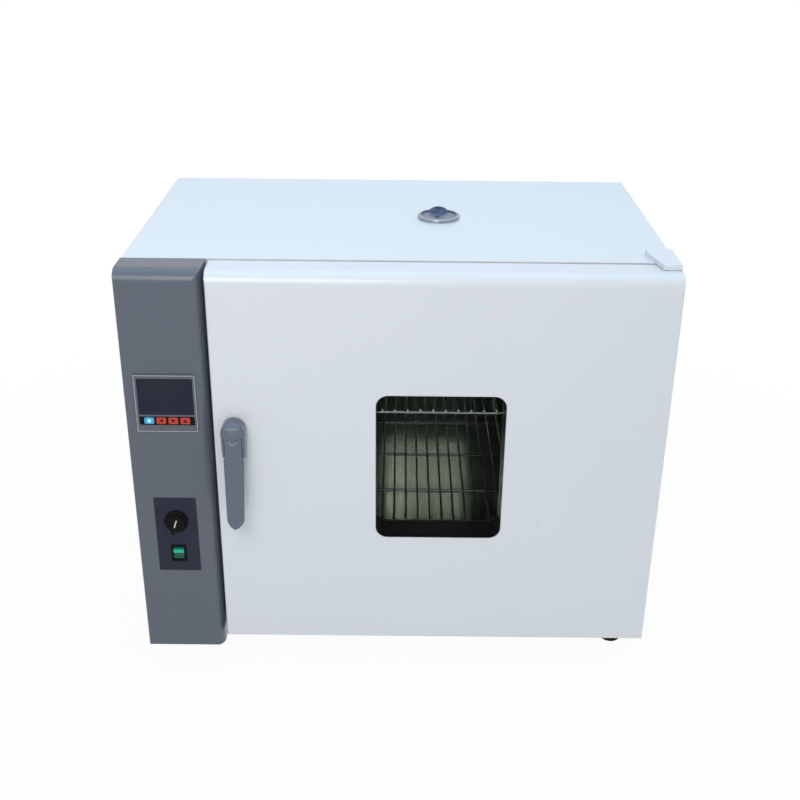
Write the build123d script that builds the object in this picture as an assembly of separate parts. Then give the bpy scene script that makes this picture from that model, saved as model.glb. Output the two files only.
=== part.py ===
from build123d import *
import math
import os

# Bench-top forced-air drying oven, in millimetres. The frame is +X to the right, +Y into the oven,
# +Z up, with the origin on the floor under the middle of the whole outline.

# Casing
overall_width = 720.0
body_height = 574.0
body_depth = 410.0
foot_height = 30.0
casing_sheet = 1.5
casing_bend = 3.0
pan_lip = 15.0
shell_flange = 16.0
fit_gap = 0.2

# Door and control panel
door_thickness = 48.0
door_to_frame = 4.0
door_to_panel = 5.0
door_lift = 17.0
door_top_gap = 1.0
door_top_radius = 18.0
door_edge_radius = 2.5
panel_width = 110.0
panel_drop = 2.0
panel_top_radius = 17.0
panel_side_radius = 15.0

# Window
window_width = 173.0
window_height = 218.0
window_radius = 16.5
window_above_centre = 1.0
window_edge_round = 0.9
glass_thickness = 4.0
glass_lap = 8.0
sleeve_wall = 1.5

# Door seal
seal_width = 14.0
seal_to_mouth = 10.0
seal_radius = 30.0
running_gap = 0.3

# Heated chamber
chamber_to_door_edge = 77.5
chamber_head = 62.0
chamber_to_rear = 55.0
chamber_lift = 62.0
liner_sheet = 1.2
duct_gap = 35.0
heater_gap = 30.0
slab_gap = 0.25

# Air duct plate and floor plate
plate_sheet = 1.2
intake_radius = 52.0
intake_hole_radius = 4.0
intake_pitch = 13.0
outlet_hole_radius = 5.0
outlet_rows = 16
outlet_columns = 3
outlet_pitch = 24.0
floor_slot_length = 40.0
floor_slot_width = 8.0
floor_slots = 6

# Shelves and their racks
shelf_levels = 4
first_level = 99.5
level_pitch = 95.5
rack_strip_width = 22.0
rack_strip = 2.0
ledge_reach = 12.0
ledge_sheet = 1.5
shelf_side_gap = 1.0
shelf_rod_radius = 2.5
shelf_wire_radius = 1.5
shelf_wire_pitch = 17.5
shelf_cross_rods = 4
shelf_inset = 4.0
weld_sink = 0.4
lower_shelf_level = 1
upper_shelf_level = 3

# Heater tubes
heater_loops = 3
heater_tube_radius = 4.0
heater_leg_pitch = 50.0
heater_loop_pitch = 105.0
heater_reach = 420.0
heater_tail = 14.0
tube_gap = 0.3

# Fan and motor
motor_radius = 41.0
motor_length = 66.0
motor_ear = 12.0
motor_flange = 3.0
fan_radius = 72.0
fan_width = 26.0
fan_blades = 12
fan_blade_sheet = 1.5
fan_hub_radius = 12.0
fan_back = 150.0
shaft_radius = 4.0
shaft_bearing_gap = 0.05
shaft_hole_gap = 4.0
shaft_bearing_length = 40.0

# Exhaust vent
vent_from_mouth = 224.0
vent_behind_frame = 197.0
vent_ring_radius = 30.5
vent_ring_height = 5.0
vent_rim = 4.4
vent_floor = 1.2
vent_dial_sheet = 2.0
vent_dial_gap = 0.1
vent_pipe_radius = 19.0
vent_pipe_wall = 1.5
vent_ports = 2
vent_port_angle = 70.0
vent_port_inner = 6.0
vent_port_outer = 16.5
vent_slot_width = 6.3
vent_slot_length = 7.0
vent_slot_front = 8.4
vent_slot_side = 2.5
vent_tab_width = 31.0
vent_tab_height = 8.0
vent_tab_back = 18.9
vent_tab_sheet = 1.5

# Feet
foot_top_radius = 13.0
foot_bottom_radius = 15.5
foot_side_inset = 32.0
foot_front_inset = 18.0
foot_back_inset = 30.0

# Door hinge
hinge_side_inset = 11.0
hinge_from_front = 34.0
hinge_plate = 6.0
hinge_plate_back = 40.0
hinge_plate_front = 9.0
hinge_plate_width = 35.0
hinge_nose_width = 24.0
hinge_straight = 15.0
hinge_lower_plate = 5.0
hinge_leg = 4.0
pin_radius = 4.0
pin_engagement = 13.0
pin_running_gap = 0.05
bush_wall = 3.0
bush_flange = 0.7
bush_flange_reach = 2.5

# Door handle and its hook
handle_from_edge = 28.0
handle_cap_rise = 20.0
handle_cap_radius = 16.35
handle_foot_drop = 24.0
handle_foot_half = 14.8
handle_cap_reach = 28.0
handle_cap_edge = 19.0
handle_reach = 44.0
handle_length = 113.0
grip_upper_half = 14.0
grip_lower_half = 11.8
grip_ridge = 8.5
grip_thickness = 14.0
grip_round = 1.5
pivot_height = 336.0
pivot_reach = 13.0
hub_radius = 16.0
hub_half = 11.6
hub_back = 4.0
hub_gap = 0.4
shoulder_gap = 1.0
handle_pin_radius = 3.0
handle_pin_half = 14.0
handle_swing = 15.0
hook_half = 4.0
hook_side_gap = 2.0
hook_slot_gap = 2.0
hook_tip = 68.0
barb_length = 6.5
barb_rise = 7.0
keeper_pin_radius = 3.0
keeper_gap = 0.5
keeper_wall = 1.2
keeper_end_gap = 8.0

# Temperature controller
controller_height = 391.5
controller_width = 80.5
controller_tall = 82.0
controller_cutout = 75.0
controller_depth = 70.0
bezel_depth = 2.5
bezel_radius = 1.5
display_width = 73.0
display_tall = 52.0
display_above = 10.0
display_recess = 0.6
display_sheet = 1.2
strip_tall = 12.4
strip_below = 24.9
strip_recess = 0.5
strip_sheet = 1.6
button_count = 4
button_pitch = 15.9
button_width = 13.0
button_tall = 9.4
button_radius = 2.0
button_proud = 0.8
button_depth = 3.4
button_gap = 0.3
button_travel = 0.6

# Mode knob, rocker switch and their plate
switch_plate_width = 58.0
switch_plate_tall = 117.4
switch_plate_height = 188.7
switch_plate_sheet = 0.8
knob_height = 210.5
knob_radius = 16.7
knob_skirt = 3.5
knob_body_radius = 13.5
knob_reach = 9.0
knob_nose = 18.6
knob_rest_angle = -162.0
knob_shaft_radius = 3.0
knob_shaft_depth = 16.0
switch_body_radius = 15.0
switch_body_depth = 20.0
switch_bush_radius = 4.5
rocker_height = 159.0
rocker_bezel_width = 21.0
rocker_bezel_tall = 26.0
rocker_bezel_reach = 2.0
rocker_half_width = 7.2
rocker_half_tall = 8.6
rocker_body_depth = 16.0
rocker_tilt = 12.0
rocker_end_gap = 1.3
rocker_side_gap = 0.3
rocker_pin_radius = 1.5
rocker_pin_depth = 3.0

# Back of the oven and what is wired behind the panel
gland_height = 85.0
gland_reach = 20.0
gland_radius = 9.0
gland_flange_radius = 12.0
cable_radius = 4.5
louvre_count = 8
louvre_length = 64.0
louvre_width = 4.0
louvre_pitch = 12.0
block_width = 18.0
block_depth = 60.0
block_tall = 22.0
relay_width = 26.0
relay_depth = 46.0
relay_tall = 60.0
wire_radius = 2.5
wire_corner = 18.0
screw_radius = 2.0
screw_head_radius = 3.8
screw_head = 2.2
probe_radius = 2.5
probe_reach = 12.0
probe_drop = 40.0
probe_from_back = 70.0

# Places worked out from the sizes
x_left = -overall_width / 2
x_right = overall_width / 2
overall_depth = handle_reach + door_thickness + door_to_frame + body_depth + gland_reach
face_y = handle_reach - overall_depth / 2
frame_y = face_y + door_thickness + door_to_frame
rear_y = frame_y + body_depth
z_base = foot_height
z_top = z_base + body_height
panel_x1 = x_left + panel_width
door_x0 = panel_x1 + door_to_panel
door_x1 = x_right
door_z0 = z_base + door_lift
door_z1 = z_top - door_top_gap
door_back_y = face_y + door_thickness
door_mid_x = (door_x0 + door_x1) / 2
door_mid_z = (door_z0 + door_z1) / 2
window_z = door_mid_z + window_above_centre
chamber_width = door_x1 - door_x0 - 2 * chamber_to_door_edge
chamber_height = body_height - chamber_lift - chamber_head
chamber_depth = body_depth - chamber_to_rear
mouth_x0 = door_mid_x - chamber_width / 2
mouth_x1 = door_mid_x + chamber_width / 2
mouth_z0 = z_base + chamber_lift
mouth_z1 = mouth_z0 + chamber_height
mouth_mid_z = (mouth_z0 + mouth_z1) / 2
liner_x0 = mouth_x0 - duct_gap
liner_z0 = mouth_z0 - heater_gap
liner_back_y = frame_y + chamber_depth
partition_x = panel_x1
inside_x1 = x_right - casing_sheet
inside_z0 = z_base + casing_sheet
inside_z1 = z_top - casing_sheet
inside_y0 = frame_y + casing_sheet
inside_y1 = rear_y - casing_sheet
hinge_x = x_right - hinge_side_inset
hinge_y = face_y + hinge_from_front
vent_x = mouth_x0 + vent_from_mouth
vent_y = frame_y + vent_behind_frame
fan_y = liner_back_y - fan_back
handle_x = door_x0 + handle_from_edge
handle_cap_height = pivot_height + handle_cap_rise
handle_foot_height = pivot_height - handle_foot_drop
handle_bottom = pivot_height - handle_length
pivot_y = face_y - pivot_reach
pivot_z = z_base + pivot_height
control_x = (x_left + panel_x1) / 2
gland_x = control_x
control_z = z_base + controller_height
display_z = control_z + display_above
strip_z = control_z - strip_below
plate_z = z_base + switch_plate_height
knob_z = z_base + knob_height
rocker_z = z_base + rocker_height
plate_face_y = face_y - switch_plate_sheet


def block(x0, x1, y0, y1, z0, z1):
    """A box between two opposite corners."""
    size = Box(x1 - x0, y1 - y0, z1 - z0)
    return Pos((x0 + x1) / 2, (y0 + y1) / 2, (z0 + z1) / 2) * size


def rod_x(radius, x0, x1, y, z):
    """A round bar along X."""
    return Pos((x0 + x1) / 2, y, z) * Rot(0, 90, 0) * Cylinder(radius, x1 - x0)


def rod_y(radius, y0, y1, x, z):
    """A round bar along Y."""
    return Pos(x, (y0 + y1) / 2, z) * Rot(90, 0, 0) * Cylinder(radius, y1 - y0)


def rod_z(radius, z0, z1, x, y):
    """A round bar along Z."""
    return Pos(x, y, (z0 + z1) / 2) * Cylinder(radius, z1 - z0)


def facing(outline, x, z, y0, y1):
    """A flat outline, drawn as seen from the front, made a plate from y0 back to y1."""
    return Pos(x, y1, z) * Rot(90, 0, 0) * extrude(outline, y1 - y0)


def rounded_plate(width, height, radius, x, z, y0, y1):
    """An upright plate with round corners."""
    return facing(RectangleRounded(width, height, radius), x, z, y0, y1)


def group(solids):
    """Separate solids that share one name."""
    return Compound(solids)


def corner_round(face, corner, radius):
    """Rounds the corner of a flat outline that lies nearest to a point."""
    nearest = min(face.vertices(), key=lambda v: (v.X - corner[0]) ** 2 + (v.Y - corner[1]) ** 2)
    return fillet(nearest, radius)


def front_pan(x0, x1, z0, z1, y_end, inset, top_radius, bottom_radius, left_radius, right_radius):
    """A box with rounded front edges: its side view crossed with its plan, drawn inset from the outside."""
    y0 = face_y + inset
    low, high = z0 + inset, z1 - inset
    left, right = x0 + inset, x1 - inset
    side = Pos((y0 + y_end) / 2, (low + high) / 2) * Rectangle(y_end - y0, high - low)
    side = corner_round(side, (y0, high), top_radius - inset)
    side = corner_round(side, (y0, low), bottom_radius - inset)
    plan = Pos((left + right) / 2, (y0 + y_end) / 2) * Rectangle(right - left, y_end - y0)
    plan = corner_round(plan, (left, y0), left_radius - inset)
    plan = corner_round(plan, (right, y0), right_radius - inset)
    from_side = extrude(Plane.YZ.offset(left) * side, right - left)
    from_above = extrude(Plane.XY.offset(low) * plan, high - low)
    return from_side & from_above


def screw(x, y, z, turn):
    """A pan-head screw whose head looks along -Y before it is turned."""
    head = rod_y(screw_head_radius, -screw_head, 0, 0, 0)
    head = fillet(head.edges().sort_by(Axis.Y)[0], screw_head * 0.6)
    shank = rod_y(screw_radius, 0, 2 * casing_sheet + fit_gap / 2, 0, 0)
    return Pos(x, y, z) * turn * (head + shank)


parts = {}


# Casing
def make_outer_shell():
    """Sides and top from one bent sheet, with flanges at the back that take the cover's screws."""
    outline = Pos(0, (z_base + z_top) / 2) * Rectangle(overall_width, body_height)
    outline = corner_round(outline, (x_left, z_top), casing_bend)
    outline = corner_round(outline, (x_right, z_top), casing_bend)
    hollow_top = z_top - casing_sheet
    hollow = Pos(0, (z_base + hollow_top) / 2) * Rectangle(overall_width - 2 * casing_sheet, hollow_top - z_base)
    bend = casing_bend - casing_sheet
    hollow = corner_round(hollow, (x_left + casing_sheet, hollow_top), bend)
    hollow = corner_round(hollow, (x_right - casing_sheet, hollow_top), bend)
    wrap = facing(outline - hollow, 0, 0, frame_y, rear_y)
    for edge in (-inside_x1, inside_x1 - shell_flange):
        wrap += block(
            edge, edge + shell_flange, inside_y1 - casing_sheet, inside_y1, z_base + pan_lip + fit_gap, hollow_top
        )
    for x, z in cover_screw_places:
        wrap -= rod_y(screw_radius, inside_y1 - casing_sheet, inside_y1, x, z)
    return wrap - rod_z(vent_pipe_radius, hollow_top, z_top, vent_x, vent_y)


def make_bottom_pan():
    outer_x = x_right - casing_sheet
    pan = block(-outer_x, outer_x, frame_y, rear_y, z_base, z_base + pan_lip)
    inner_x = outer_x - casing_sheet
    tray = block(-inner_x, inner_x, inside_y0, rear_y - casing_sheet, inside_z0, z_base + pan_lip)
    return pan - tray


def louvre_slots(y0, y1):
    """Two stacks of cooling slots behind the wiring space."""
    x = (x_left + partition_x) / 2
    places = GridLocations(1, louvre_pitch, 1, louvre_count)
    slots = Sketch() + [place * SlotOverall(louvre_length, louvre_width) for place in places]
    lower = facing(slots, x, mouth_mid_z - chamber_height / 4, y0, y1)
    upper = facing(slots, x, mouth_mid_z + chamber_height / 4, y0, y1)
    return lower + upper


cover_screw_places = [
    (side * (inside_x1 - shell_flange / 2), z)
    for side in (-1, 1)
    for z in (z_base + 2 * pan_lip, door_mid_z, z_top - 2 * pan_lip)
]


def make_back_cover():
    edge = inside_x1 - fit_gap
    low, high = z_base + pan_lip + fit_gap, inside_z1 - fit_gap
    cover = rounded_plate(2 * edge, high - low, casing_bend, 0, (low + high) / 2, inside_y1, rear_y)
    cover -= louvre_slots(inside_y1, rear_y)
    cover -= rod_y(gland_radius, inside_y1, rear_y, gland_x, z_base + gland_height)
    for x, z in cover_screw_places:
        cover -= rod_y(screw_radius + fit_gap, inside_y1, rear_y, x, z)
    return cover


def make_front_frame():
    left = partition_x - casing_sheet
    right = inside_x1 - fit_gap
    low, high = z_base + pan_lip + fit_gap, inside_z1 - fit_gap
    plate = Rectangle(right - left, high - low)
    plate = corner_round(plate, ((right - left) / 2, (high - low) / 2), casing_bend)
    frame = facing(plate, (left + right) / 2, (low + high) / 2, frame_y, inside_y0)
    frame -= block(mouth_x0, mouth_x1, frame_y, inside_y0, mouth_z0, mouth_z1)
    return frame - hook_slot(frame_y, inside_y0)


def make_control_panel():
    z0 = z_base - panel_drop
    radii = (panel_top_radius, door_edge_radius, door_edge_radius, panel_side_radius)
    shell = front_pan(x_left, panel_x1, z0, z_top, frame_y, 0, *radii)
    shell -= front_pan(x_left, panel_x1, z0, z_top, frame_y + 1, casing_sheet, *radii)
    front_y = face_y + casing_sheet
    cutout = controller_cutout + 2 * fit_gap
    shell -= block(
        control_x - cutout / 2, control_x + cutout / 2, face_y, front_y, control_z - cutout / 2, control_z + cutout / 2
    )
    shell -= rod_y(switch_bush_radius + fit_gap, face_y, front_y, control_x, knob_z)
    half_x = rocker_half_width + rocker_side_gap + casing_sheet + fit_gap
    half_z = rocker_half_tall + rocker_end_gap + casing_sheet + fit_gap
    return shell - block(
        control_x - half_x, control_x + half_x, face_y, front_y, rocker_z - half_z, rocker_z + half_z
    )


def make_partition_wall():
    x1 = partition_x + casing_sheet
    wall = block(partition_x, x1, inside_y0, inside_y1, inside_z0, inside_z1)
    wall -= rod_x(shaft_radius + shaft_hole_gap, partition_x, x1, fan_y, mouth_mid_z)
    for y, z in heater_leg_places():
        wall -= rod_x(heater_tube_radius + tube_gap, partition_x, x1, y, z)
    wall -= rod_x(probe_radius + tube_gap, partition_x, x1, probe_y, probe_z)
    return wall


# Heated chamber
def heater_leg_places():
    """Where each straight heater leg runs, as (y, z)."""
    middle = (frame_y + liner_back_y) / 2
    places = []
    for loop in range(heater_loops):
        loop_y = middle + (loop - (heater_loops - 1) / 2) * heater_loop_pitch
        for side in (-1, 1):
            places.append((loop_y + side * heater_leg_pitch / 2, liner_z0 + heater_gap / 2))
    return places


probe_y = liner_back_y - probe_from_back
probe_z = mouth_z1 - probe_drop


def make_inner_chamber():
    outer = block(
        liner_x0 - liner_sheet, mouth_x1 + liner_sheet, inside_y0, liner_back_y + liner_sheet,
        liner_z0 - liner_sheet, mouth_z1 + liner_sheet
    )
    liner = outer - block(liner_x0, mouth_x1, inside_y0, liner_back_y, liner_z0, mouth_z1)
    liner -= rod_z(vent_pipe_radius, mouth_z1, mouth_z1 + liner_sheet, vent_x, vent_y)
    liner -= rod_x(shaft_radius + shaft_hole_gap, liner_x0 - liner_sheet, liner_x0, fan_y, mouth_mid_z)
    for y, z in heater_leg_places():
        liner -= rod_x(heater_tube_radius + tube_gap, liner_x0 - liner_sheet, liner_x0, y, z)
    return liner - rod_x(probe_radius + tube_gap, liner_x0 - liner_sheet, liner_x0, probe_y, probe_z)


def make_insulation_slabs():
    """Mineral wool above, below, on both sides and behind the chamber."""
    left = partition_x + casing_sheet + slab_gap
    right = inside_x1 - casing_sheet - slab_gap
    front, back = inside_y0 + slab_gap, inside_y1 - casing_sheet - slab_gap
    low, high = inside_z0 + slab_gap, inside_z1 - casing_sheet - slab_gap
    liner_low, liner_high = liner_z0 - liner_sheet - slab_gap, mouth_z1 + liner_sheet + slab_gap
    liner_left, liner_right = liner_x0 - liner_sheet - slab_gap, mouth_x1 + liner_sheet + slab_gap
    liner_back = liner_back_y + liner_sheet + slab_gap
    top = block(left, right, front, back, liner_high, high)
    top -= rod_z(vent_pipe_radius + slab_gap, liner_high, high, vent_x, vent_y)
    bottom = block(left, right, front, back, low, liner_low)
    beside_left = block(left, liner_left, front, back, liner_low, liner_high)
    beside_left -= rod_x(shaft_radius + shaft_hole_gap, left, liner_left, fan_y, mouth_mid_z)
    for y, z in heater_leg_places():
        beside_left -= rod_x(heater_tube_radius + tube_gap, left, liner_left, y, z)
    beside_left -= rod_x(probe_radius + tube_gap, left, liner_left, probe_y, probe_z)
    pocket_x, pocket_z0, pocket_z1, pocket_y1 = keeper_outside()
    beside_left -= block(
        handle_x - pocket_x - slab_gap, handle_x + pocket_x + slab_gap, front, pocket_y1 + slab_gap,
        pocket_z0 - slab_gap, pocket_z1 + slab_gap
    )
    beside_right = block(liner_right, right, front, back, liner_low, liner_high)
    behind = block(liner_left, liner_right, liner_back, back, liner_low, liner_high)
    return group([top, bottom, beside_left, beside_right, behind])


def make_duct_plate():
    """Perforated wall between the fan and the load, with a folded lip at its front."""
    span_y = liner_back_y - inside_y0
    mid_y = (inside_y0 + liner_back_y) / 2
    sheet_plane = Plane.YZ.offset(mouth_x0 - plate_sheet)
    plate = Pos(mid_y, mouth_mid_z) * Rectangle(span_y, chamber_height)
    rings = int(intake_radius // intake_pitch)
    holes = [Pos(fan_y, mouth_mid_z) * Circle(intake_hole_radius)]
    for ring in range(1, rings + 1):
        for step in range(6 * ring):
            angle = 2 * math.pi * step / (6 * ring)
            y = fan_y + ring * intake_pitch * math.cos(angle)
            z = mouth_mid_z + ring * intake_pitch * math.sin(angle)
            holes.append(Pos(y, z) * Circle(intake_hole_radius))
    outlet_y = inside_y0 + outlet_columns * outlet_pitch
    grid = GridLocations(outlet_pitch, outlet_pitch, outlet_columns, outlet_rows)
    holes += [Pos(outlet_y, mouth_mid_z) * place * Circle(outlet_hole_radius) for place in grid]
    holes.append(Pos(probe_y, probe_z) * Circle(probe_radius + tube_gap))
    wall = extrude(sheet_plane * (plate - holes), plate_sheet)
    lip = block(
        liner_x0 + fit_gap, mouth_x0 - plate_sheet, inside_y0, inside_y0 + plate_sheet, mouth_z0, mouth_z1
    )
    return wall + lip


def make_floor_plate():
    """Loose floor over the heater tubes, standing on two folded legs, slotted at both ends."""
    x0, x1 = liner_x0 + fit_gap, mouth_x1 - fit_gap
    y0, y1 = inside_y0 + fit_gap, liner_back_y - fit_gap
    x_mid, y_mid = (x0 + x1) / 2, (y0 + y1) / 2
    plate = Pos(x_mid, y_mid) * Rectangle(x1 - x0, y1 - y0)
    slots = GridLocations(1, (y1 - y0) / floor_slots, 1, floor_slots)
    slot = Rot(0, 0, 90) * SlotOverall(floor_slot_length, floor_slot_width)
    for x in (x0 + duct_gap / 2, x1 - ledge_reach):
        plate -= [Pos(x, y_mid) * place * slot for place in slots]
    top = extrude(Pos(0, 0, mouth_z0 - plate_sheet) * plate, plate_sheet - fit_gap)
    legs = [block(x0, x1, y, y + plate_sheet, liner_z0, mouth_z0 - plate_sheet) for y in (y0, y1 - plate_sheet)]
    return top + legs[0] + legs[1]


def make_heater_elements():
    """Hairpin heater tubes with their ends in the wiring space."""
    loops = []
    start_x = partition_x - heater_tail
    bend = heater_leg_pitch / 2
    straight_x = liner_x0 + heater_reach - bend
    legs = heater_leg_places()
    for front_leg, back_leg in zip(legs[0::2], legs[1::2]):
        z = front_leg[1]
        route = Polyline((start_x, front_leg[0], z), (straight_x, front_leg[0], z))
        turn = ThreePointArc(
            (straight_x, front_leg[0], z), (straight_x + bend, front_leg[0] + bend, z), (straight_x, back_leg[0], z)
        )
        back = Polyline((straight_x, back_leg[0], z), (start_x, back_leg[0], z))
        ring = Plane(origin=(start_x, front_leg[0], z), x_dir=(0, 1, 0), z_dir=(1, 0, 0)) * Circle(heater_tube_radius)
        loops.append(sweep(ring, path=Wire(route.edges() + turn.edges() + back.edges())))
    return group(loops)


def make_temperature_probe():
    tube = rod_x(probe_radius, partition_x - heater_tail, mouth_x0 + probe_reach, probe_y, probe_z)
    return fillet(tube.edges().sort_by(Axis.X)[-1], probe_radius * 0.8)


# Shelves
def level_z(level):
    """Top of a rack ledge; the lowest is level 1."""
    return mouth_z0 + first_level + (level - 1) * level_pitch


def make_shelf_rack(wall_x, inward):
    """Two upright strips on a side wall that carry a pair of ledges at each level."""
    strip_x = sorted((wall_x, wall_x + inward * rack_strip))
    ledge_x = sorted((wall_x + inward * rack_strip, wall_x + inward * (rack_strip + ledge_reach)))
    web_x = sorted((wall_x + inward * rack_strip, wall_x + inward * (rack_strip + ledge_sheet)))
    y0 = inside_y0 + rack_strip_width
    y1 = liner_back_y - rack_strip_width
    rack = None
    for y in (y0, y1 - rack_strip_width):
        strip = block(*strip_x, y, y + rack_strip_width, mouth_z0, mouth_z1)
        rack = strip if rack is None else rack + strip
    ledge_y0, ledge_y1 = inside_y0 + fit_gap, liner_back_y - fit_gap
    for level in range(1, shelf_levels + 1):
        z = level_z(level)
        rack += block(*ledge_x, ledge_y0, ledge_y1, z - ledge_sheet, z)
        rack += block(*web_x, ledge_y0, ledge_y1, z - ledge_reach, z - ledge_sheet)
    return rack


def make_wire_shelf(level):
    """Cross rods that lie on the ledges, with thinner wires welded over them from front to back."""
    x0 = mouth_x0 + rack_strip + shelf_side_gap
    x1 = mouth_x1 - rack_strip - shelf_side_gap
    rod_z0 = level_z(level) + shelf_rod_radius
    wire_z = rod_z0 + shelf_rod_radius + shelf_wire_radius - weld_sink
    y0 = frame_y + shelf_inset
    y1 = liner_back_y - shelf_rod_radius - shelf_side_gap
    shelf = None
    for row in range(shelf_cross_rods):
        y = y0 + row * (y1 - y0) / (shelf_cross_rods - 1)
        rod = rod_x(shelf_rod_radius, x0, x1, y, rod_z0)
        shelf = rod if shelf is None else shelf + rod
    wires = int((x1 - x0 - 2 * shelf_wire_radius) // shelf_wire_pitch)
    first_x = (x0 + x1 - wires * shelf_wire_pitch) / 2
    lines = []
    for wire in range(wires + 1):
        x = first_x + wire * shelf_wire_pitch
        lines.append(rod_y(shelf_wire_radius, y0 - shelf_rod_radius, y1 + shelf_rod_radius, x, wire_z))
    return shelf + lines


# Fan
def make_fan_motor():
    """Motor on the wiring side of the partition, with a flange and a bearing bore for the shaft."""
    x1 = partition_x
    x0 = x1 - motor_flange - motor_length
    motor = rod_x(motor_radius, x0, x1 - motor_flange, fan_y, mouth_mid_z)
    motor = fillet(motor.edges().sort_by(Axis.X)[0], motor_ear / 2)
    reach = motor_radius + motor_ear
    motor += block(
        x1 - motor_flange, x1, fan_y - reach, fan_y + reach, mouth_mid_z - motor_radius, mouth_mid_z + motor_radius
    )
    return motor - rod_x(
        shaft_radius + shaft_bearing_gap, x1 - shaft_bearing_length, x1, fan_y, mouth_mid_z
    )


fan_x0 = liner_x0 + (duct_gap - plate_sheet - fan_width) / 2


def make_fan_shaft():
    x0 = partition_x - shaft_bearing_length + running_gap
    return rod_x(shaft_radius, x0, fan_x0 + fan_width, fan_y, mouth_mid_z)


def make_impeller():
    """Wheel with a back disc, upright blades and a front ring."""
    x1 = fan_x0 + fan_width
    wheel = rod_x(fan_radius, fan_x0, fan_x0 + fan_blade_sheet, fan_y, mouth_mid_z)
    wheel += rod_x(fan_hub_radius, fan_x0, x1, fan_y, mouth_mid_z)
    ring = rod_x(fan_radius, x1 - fan_blade_sheet, x1, fan_y, mouth_mid_z)
    ring -= rod_x(fan_radius * 0.72, x1 - fan_blade_sheet, x1, fan_y, mouth_mid_z)
    wheel += ring
    blade_in = fan_radius * 0.6
    for number in range(fan_blades):
        blade = block(
            fan_x0, x1, -fan_blade_sheet / 2, fan_blade_sheet / 2, blade_in, fan_radius - fan_blade_sheet / 2
        )
        leaned = Rot(360 * number / fan_blades, 0, 0) * blade
        wheel += Pos(0, fan_y, mouth_mid_z) * leaned
    return wheel - rod_x(shaft_radius + fit_gap / 10, fan_x0, x1, fan_y, mouth_mid_z)


# Exhaust vent
def ring_sector(inner, outer, middle_angle, angle):
    """A flat piece of a ring around the vent's axis."""
    half = math.radians(angle / 2)
    mid = math.radians(middle_angle)

    def at(radius, turn):
        return (radius * math.cos(mid + turn), radius * math.sin(mid + turn))

    edges = [
        Line(at(inner, -half), at(outer, -half)),
        ThreePointArc(at(outer, -half), at(outer, 0), at(outer, half)),
        Line(at(outer, half), at(inner, half)),
        ThreePointArc(at(inner, half), at(inner, 0), at(inner, -half)),
    ]
    return make_face(edges)


def make_vent_ring():
    """Flange with an upright rim and two ports in its floor."""
    ring = rod_z(vent_ring_radius, z_top, z_top + vent_ring_height, vent_x, vent_y)
    ring = fillet(ring.edges().sort_by(Axis.Z)[-1], vent_rim * 0.35)
    floor_z = z_top + vent_floor
    ring -= rod_z(vent_ring_radius - vent_rim, floor_z, z_top + vent_ring_height, vent_x, vent_y)
    for number in range(vent_ports):
        middle = 360 / vent_ports * number
        port = ring_sector(vent_port_inner, vent_port_outer, middle, vent_port_angle)
        ring -= Pos(vent_x, vent_y, z_top) * extrude(port, vent_floor)
    return ring


def make_vent_pipe():
    pipe = rod_z(vent_pipe_radius - fit_gap / 2, mouth_z1, z_top, vent_x, vent_y)
    return pipe - rod_z(vent_pipe_radius - vent_pipe_wall, mouth_z1, z_top, vent_x, vent_y)


def make_vent_dial():
    """Turning disc with one port and an upright half-moon tab at its back."""
    low = z_top + vent_floor + fit_gap
    high = low + vent_dial_sheet
    dial = rod_z(vent_ring_radius - vent_rim - vent_dial_gap, low, high, vent_x, vent_y)
    port_x, port_y = vent_x - vent_slot_side, vent_y - vent_slot_front
    dial -= block(
        port_x - vent_slot_width / 2, port_x + vent_slot_width / 2,
        port_y - vent_slot_length / 2, port_y + vent_slot_length / 2, low, high
    )
    half = vent_tab_width / 2
    curve = (half ** 2 + vent_tab_height ** 2) / (2 * vent_tab_height)
    tab_y = vent_y + vent_tab_back
    tab = rod_y(curve, tab_y, tab_y + vent_tab_sheet, vent_x, high + vent_tab_height - curve)
    tab &= block(vent_x - half, vent_x + half, tab_y, tab_y + vent_tab_sheet, high, high + vent_tab_height)
    return dial + tab


# Feet
def make_foot(x, y):
    foot = Pos(x, y, foot_height / 2) * Cone(foot_bottom_radius, foot_top_radius, foot_height)
    return fillet(foot.edges().sort_by(Axis.Z)[0], casing_sheet)


# Door hinge
def hinge_outline():
    """Plan of the upper bracket: straight at the back, narrowing to a nose over the door."""
    back, front = frame_y + hinge_plate_back, hinge_y - hinge_plate_front
    return make_face(
        Polyline(
            (x_right - hinge_plate_width, back),
            (x_right, back),
            (x_right, front),
            (x_right - hinge_nose_width, front),
            (x_right - hinge_plate_width, back - hinge_straight),
            (x_right - hinge_plate_width, back),
        )
    )


def make_hinge_bracket_top():
    plate = extrude(Pos(0, 0, z_top) * hinge_outline(), hinge_plate)
    plate = fillet(plate.edges().group_by(Axis.Z)[-1], casing_sheet * 0.6)
    return plate - rod_z(pin_radius, z_top, z_top + hinge_plate / 2, hinge_x, hinge_y)


lower_plate_z1 = door_z0 - door_top_gap


def make_hinge_bracket_bottom():
    x0 = x_right - hinge_plate_width
    y0 = hinge_y - hinge_plate_front
    z0 = lower_plate_z1 - hinge_lower_plate
    plate = block(x0, x_right, y0, frame_y, z0, lower_plate_z1)
    plate += block(x0, x_right, frame_y - hinge_leg, frame_y, z_base, lower_plate_z1)
    return plate - rod_z(pin_radius, z0 + hinge_lower_plate / 2, lower_plate_z1, hinge_x, hinge_y)


def make_hinge_pins():
    upper = rod_z(pin_radius, door_z1 - pin_engagement, z_top + hinge_plate / 2, hinge_x, hinge_y)
    lower = rod_z(
        pin_radius, lower_plate_z1 - hinge_lower_plate / 2, door_z0 + pin_engagement, hinge_x, hinge_y
    )
    return group([upper, lower])


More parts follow.
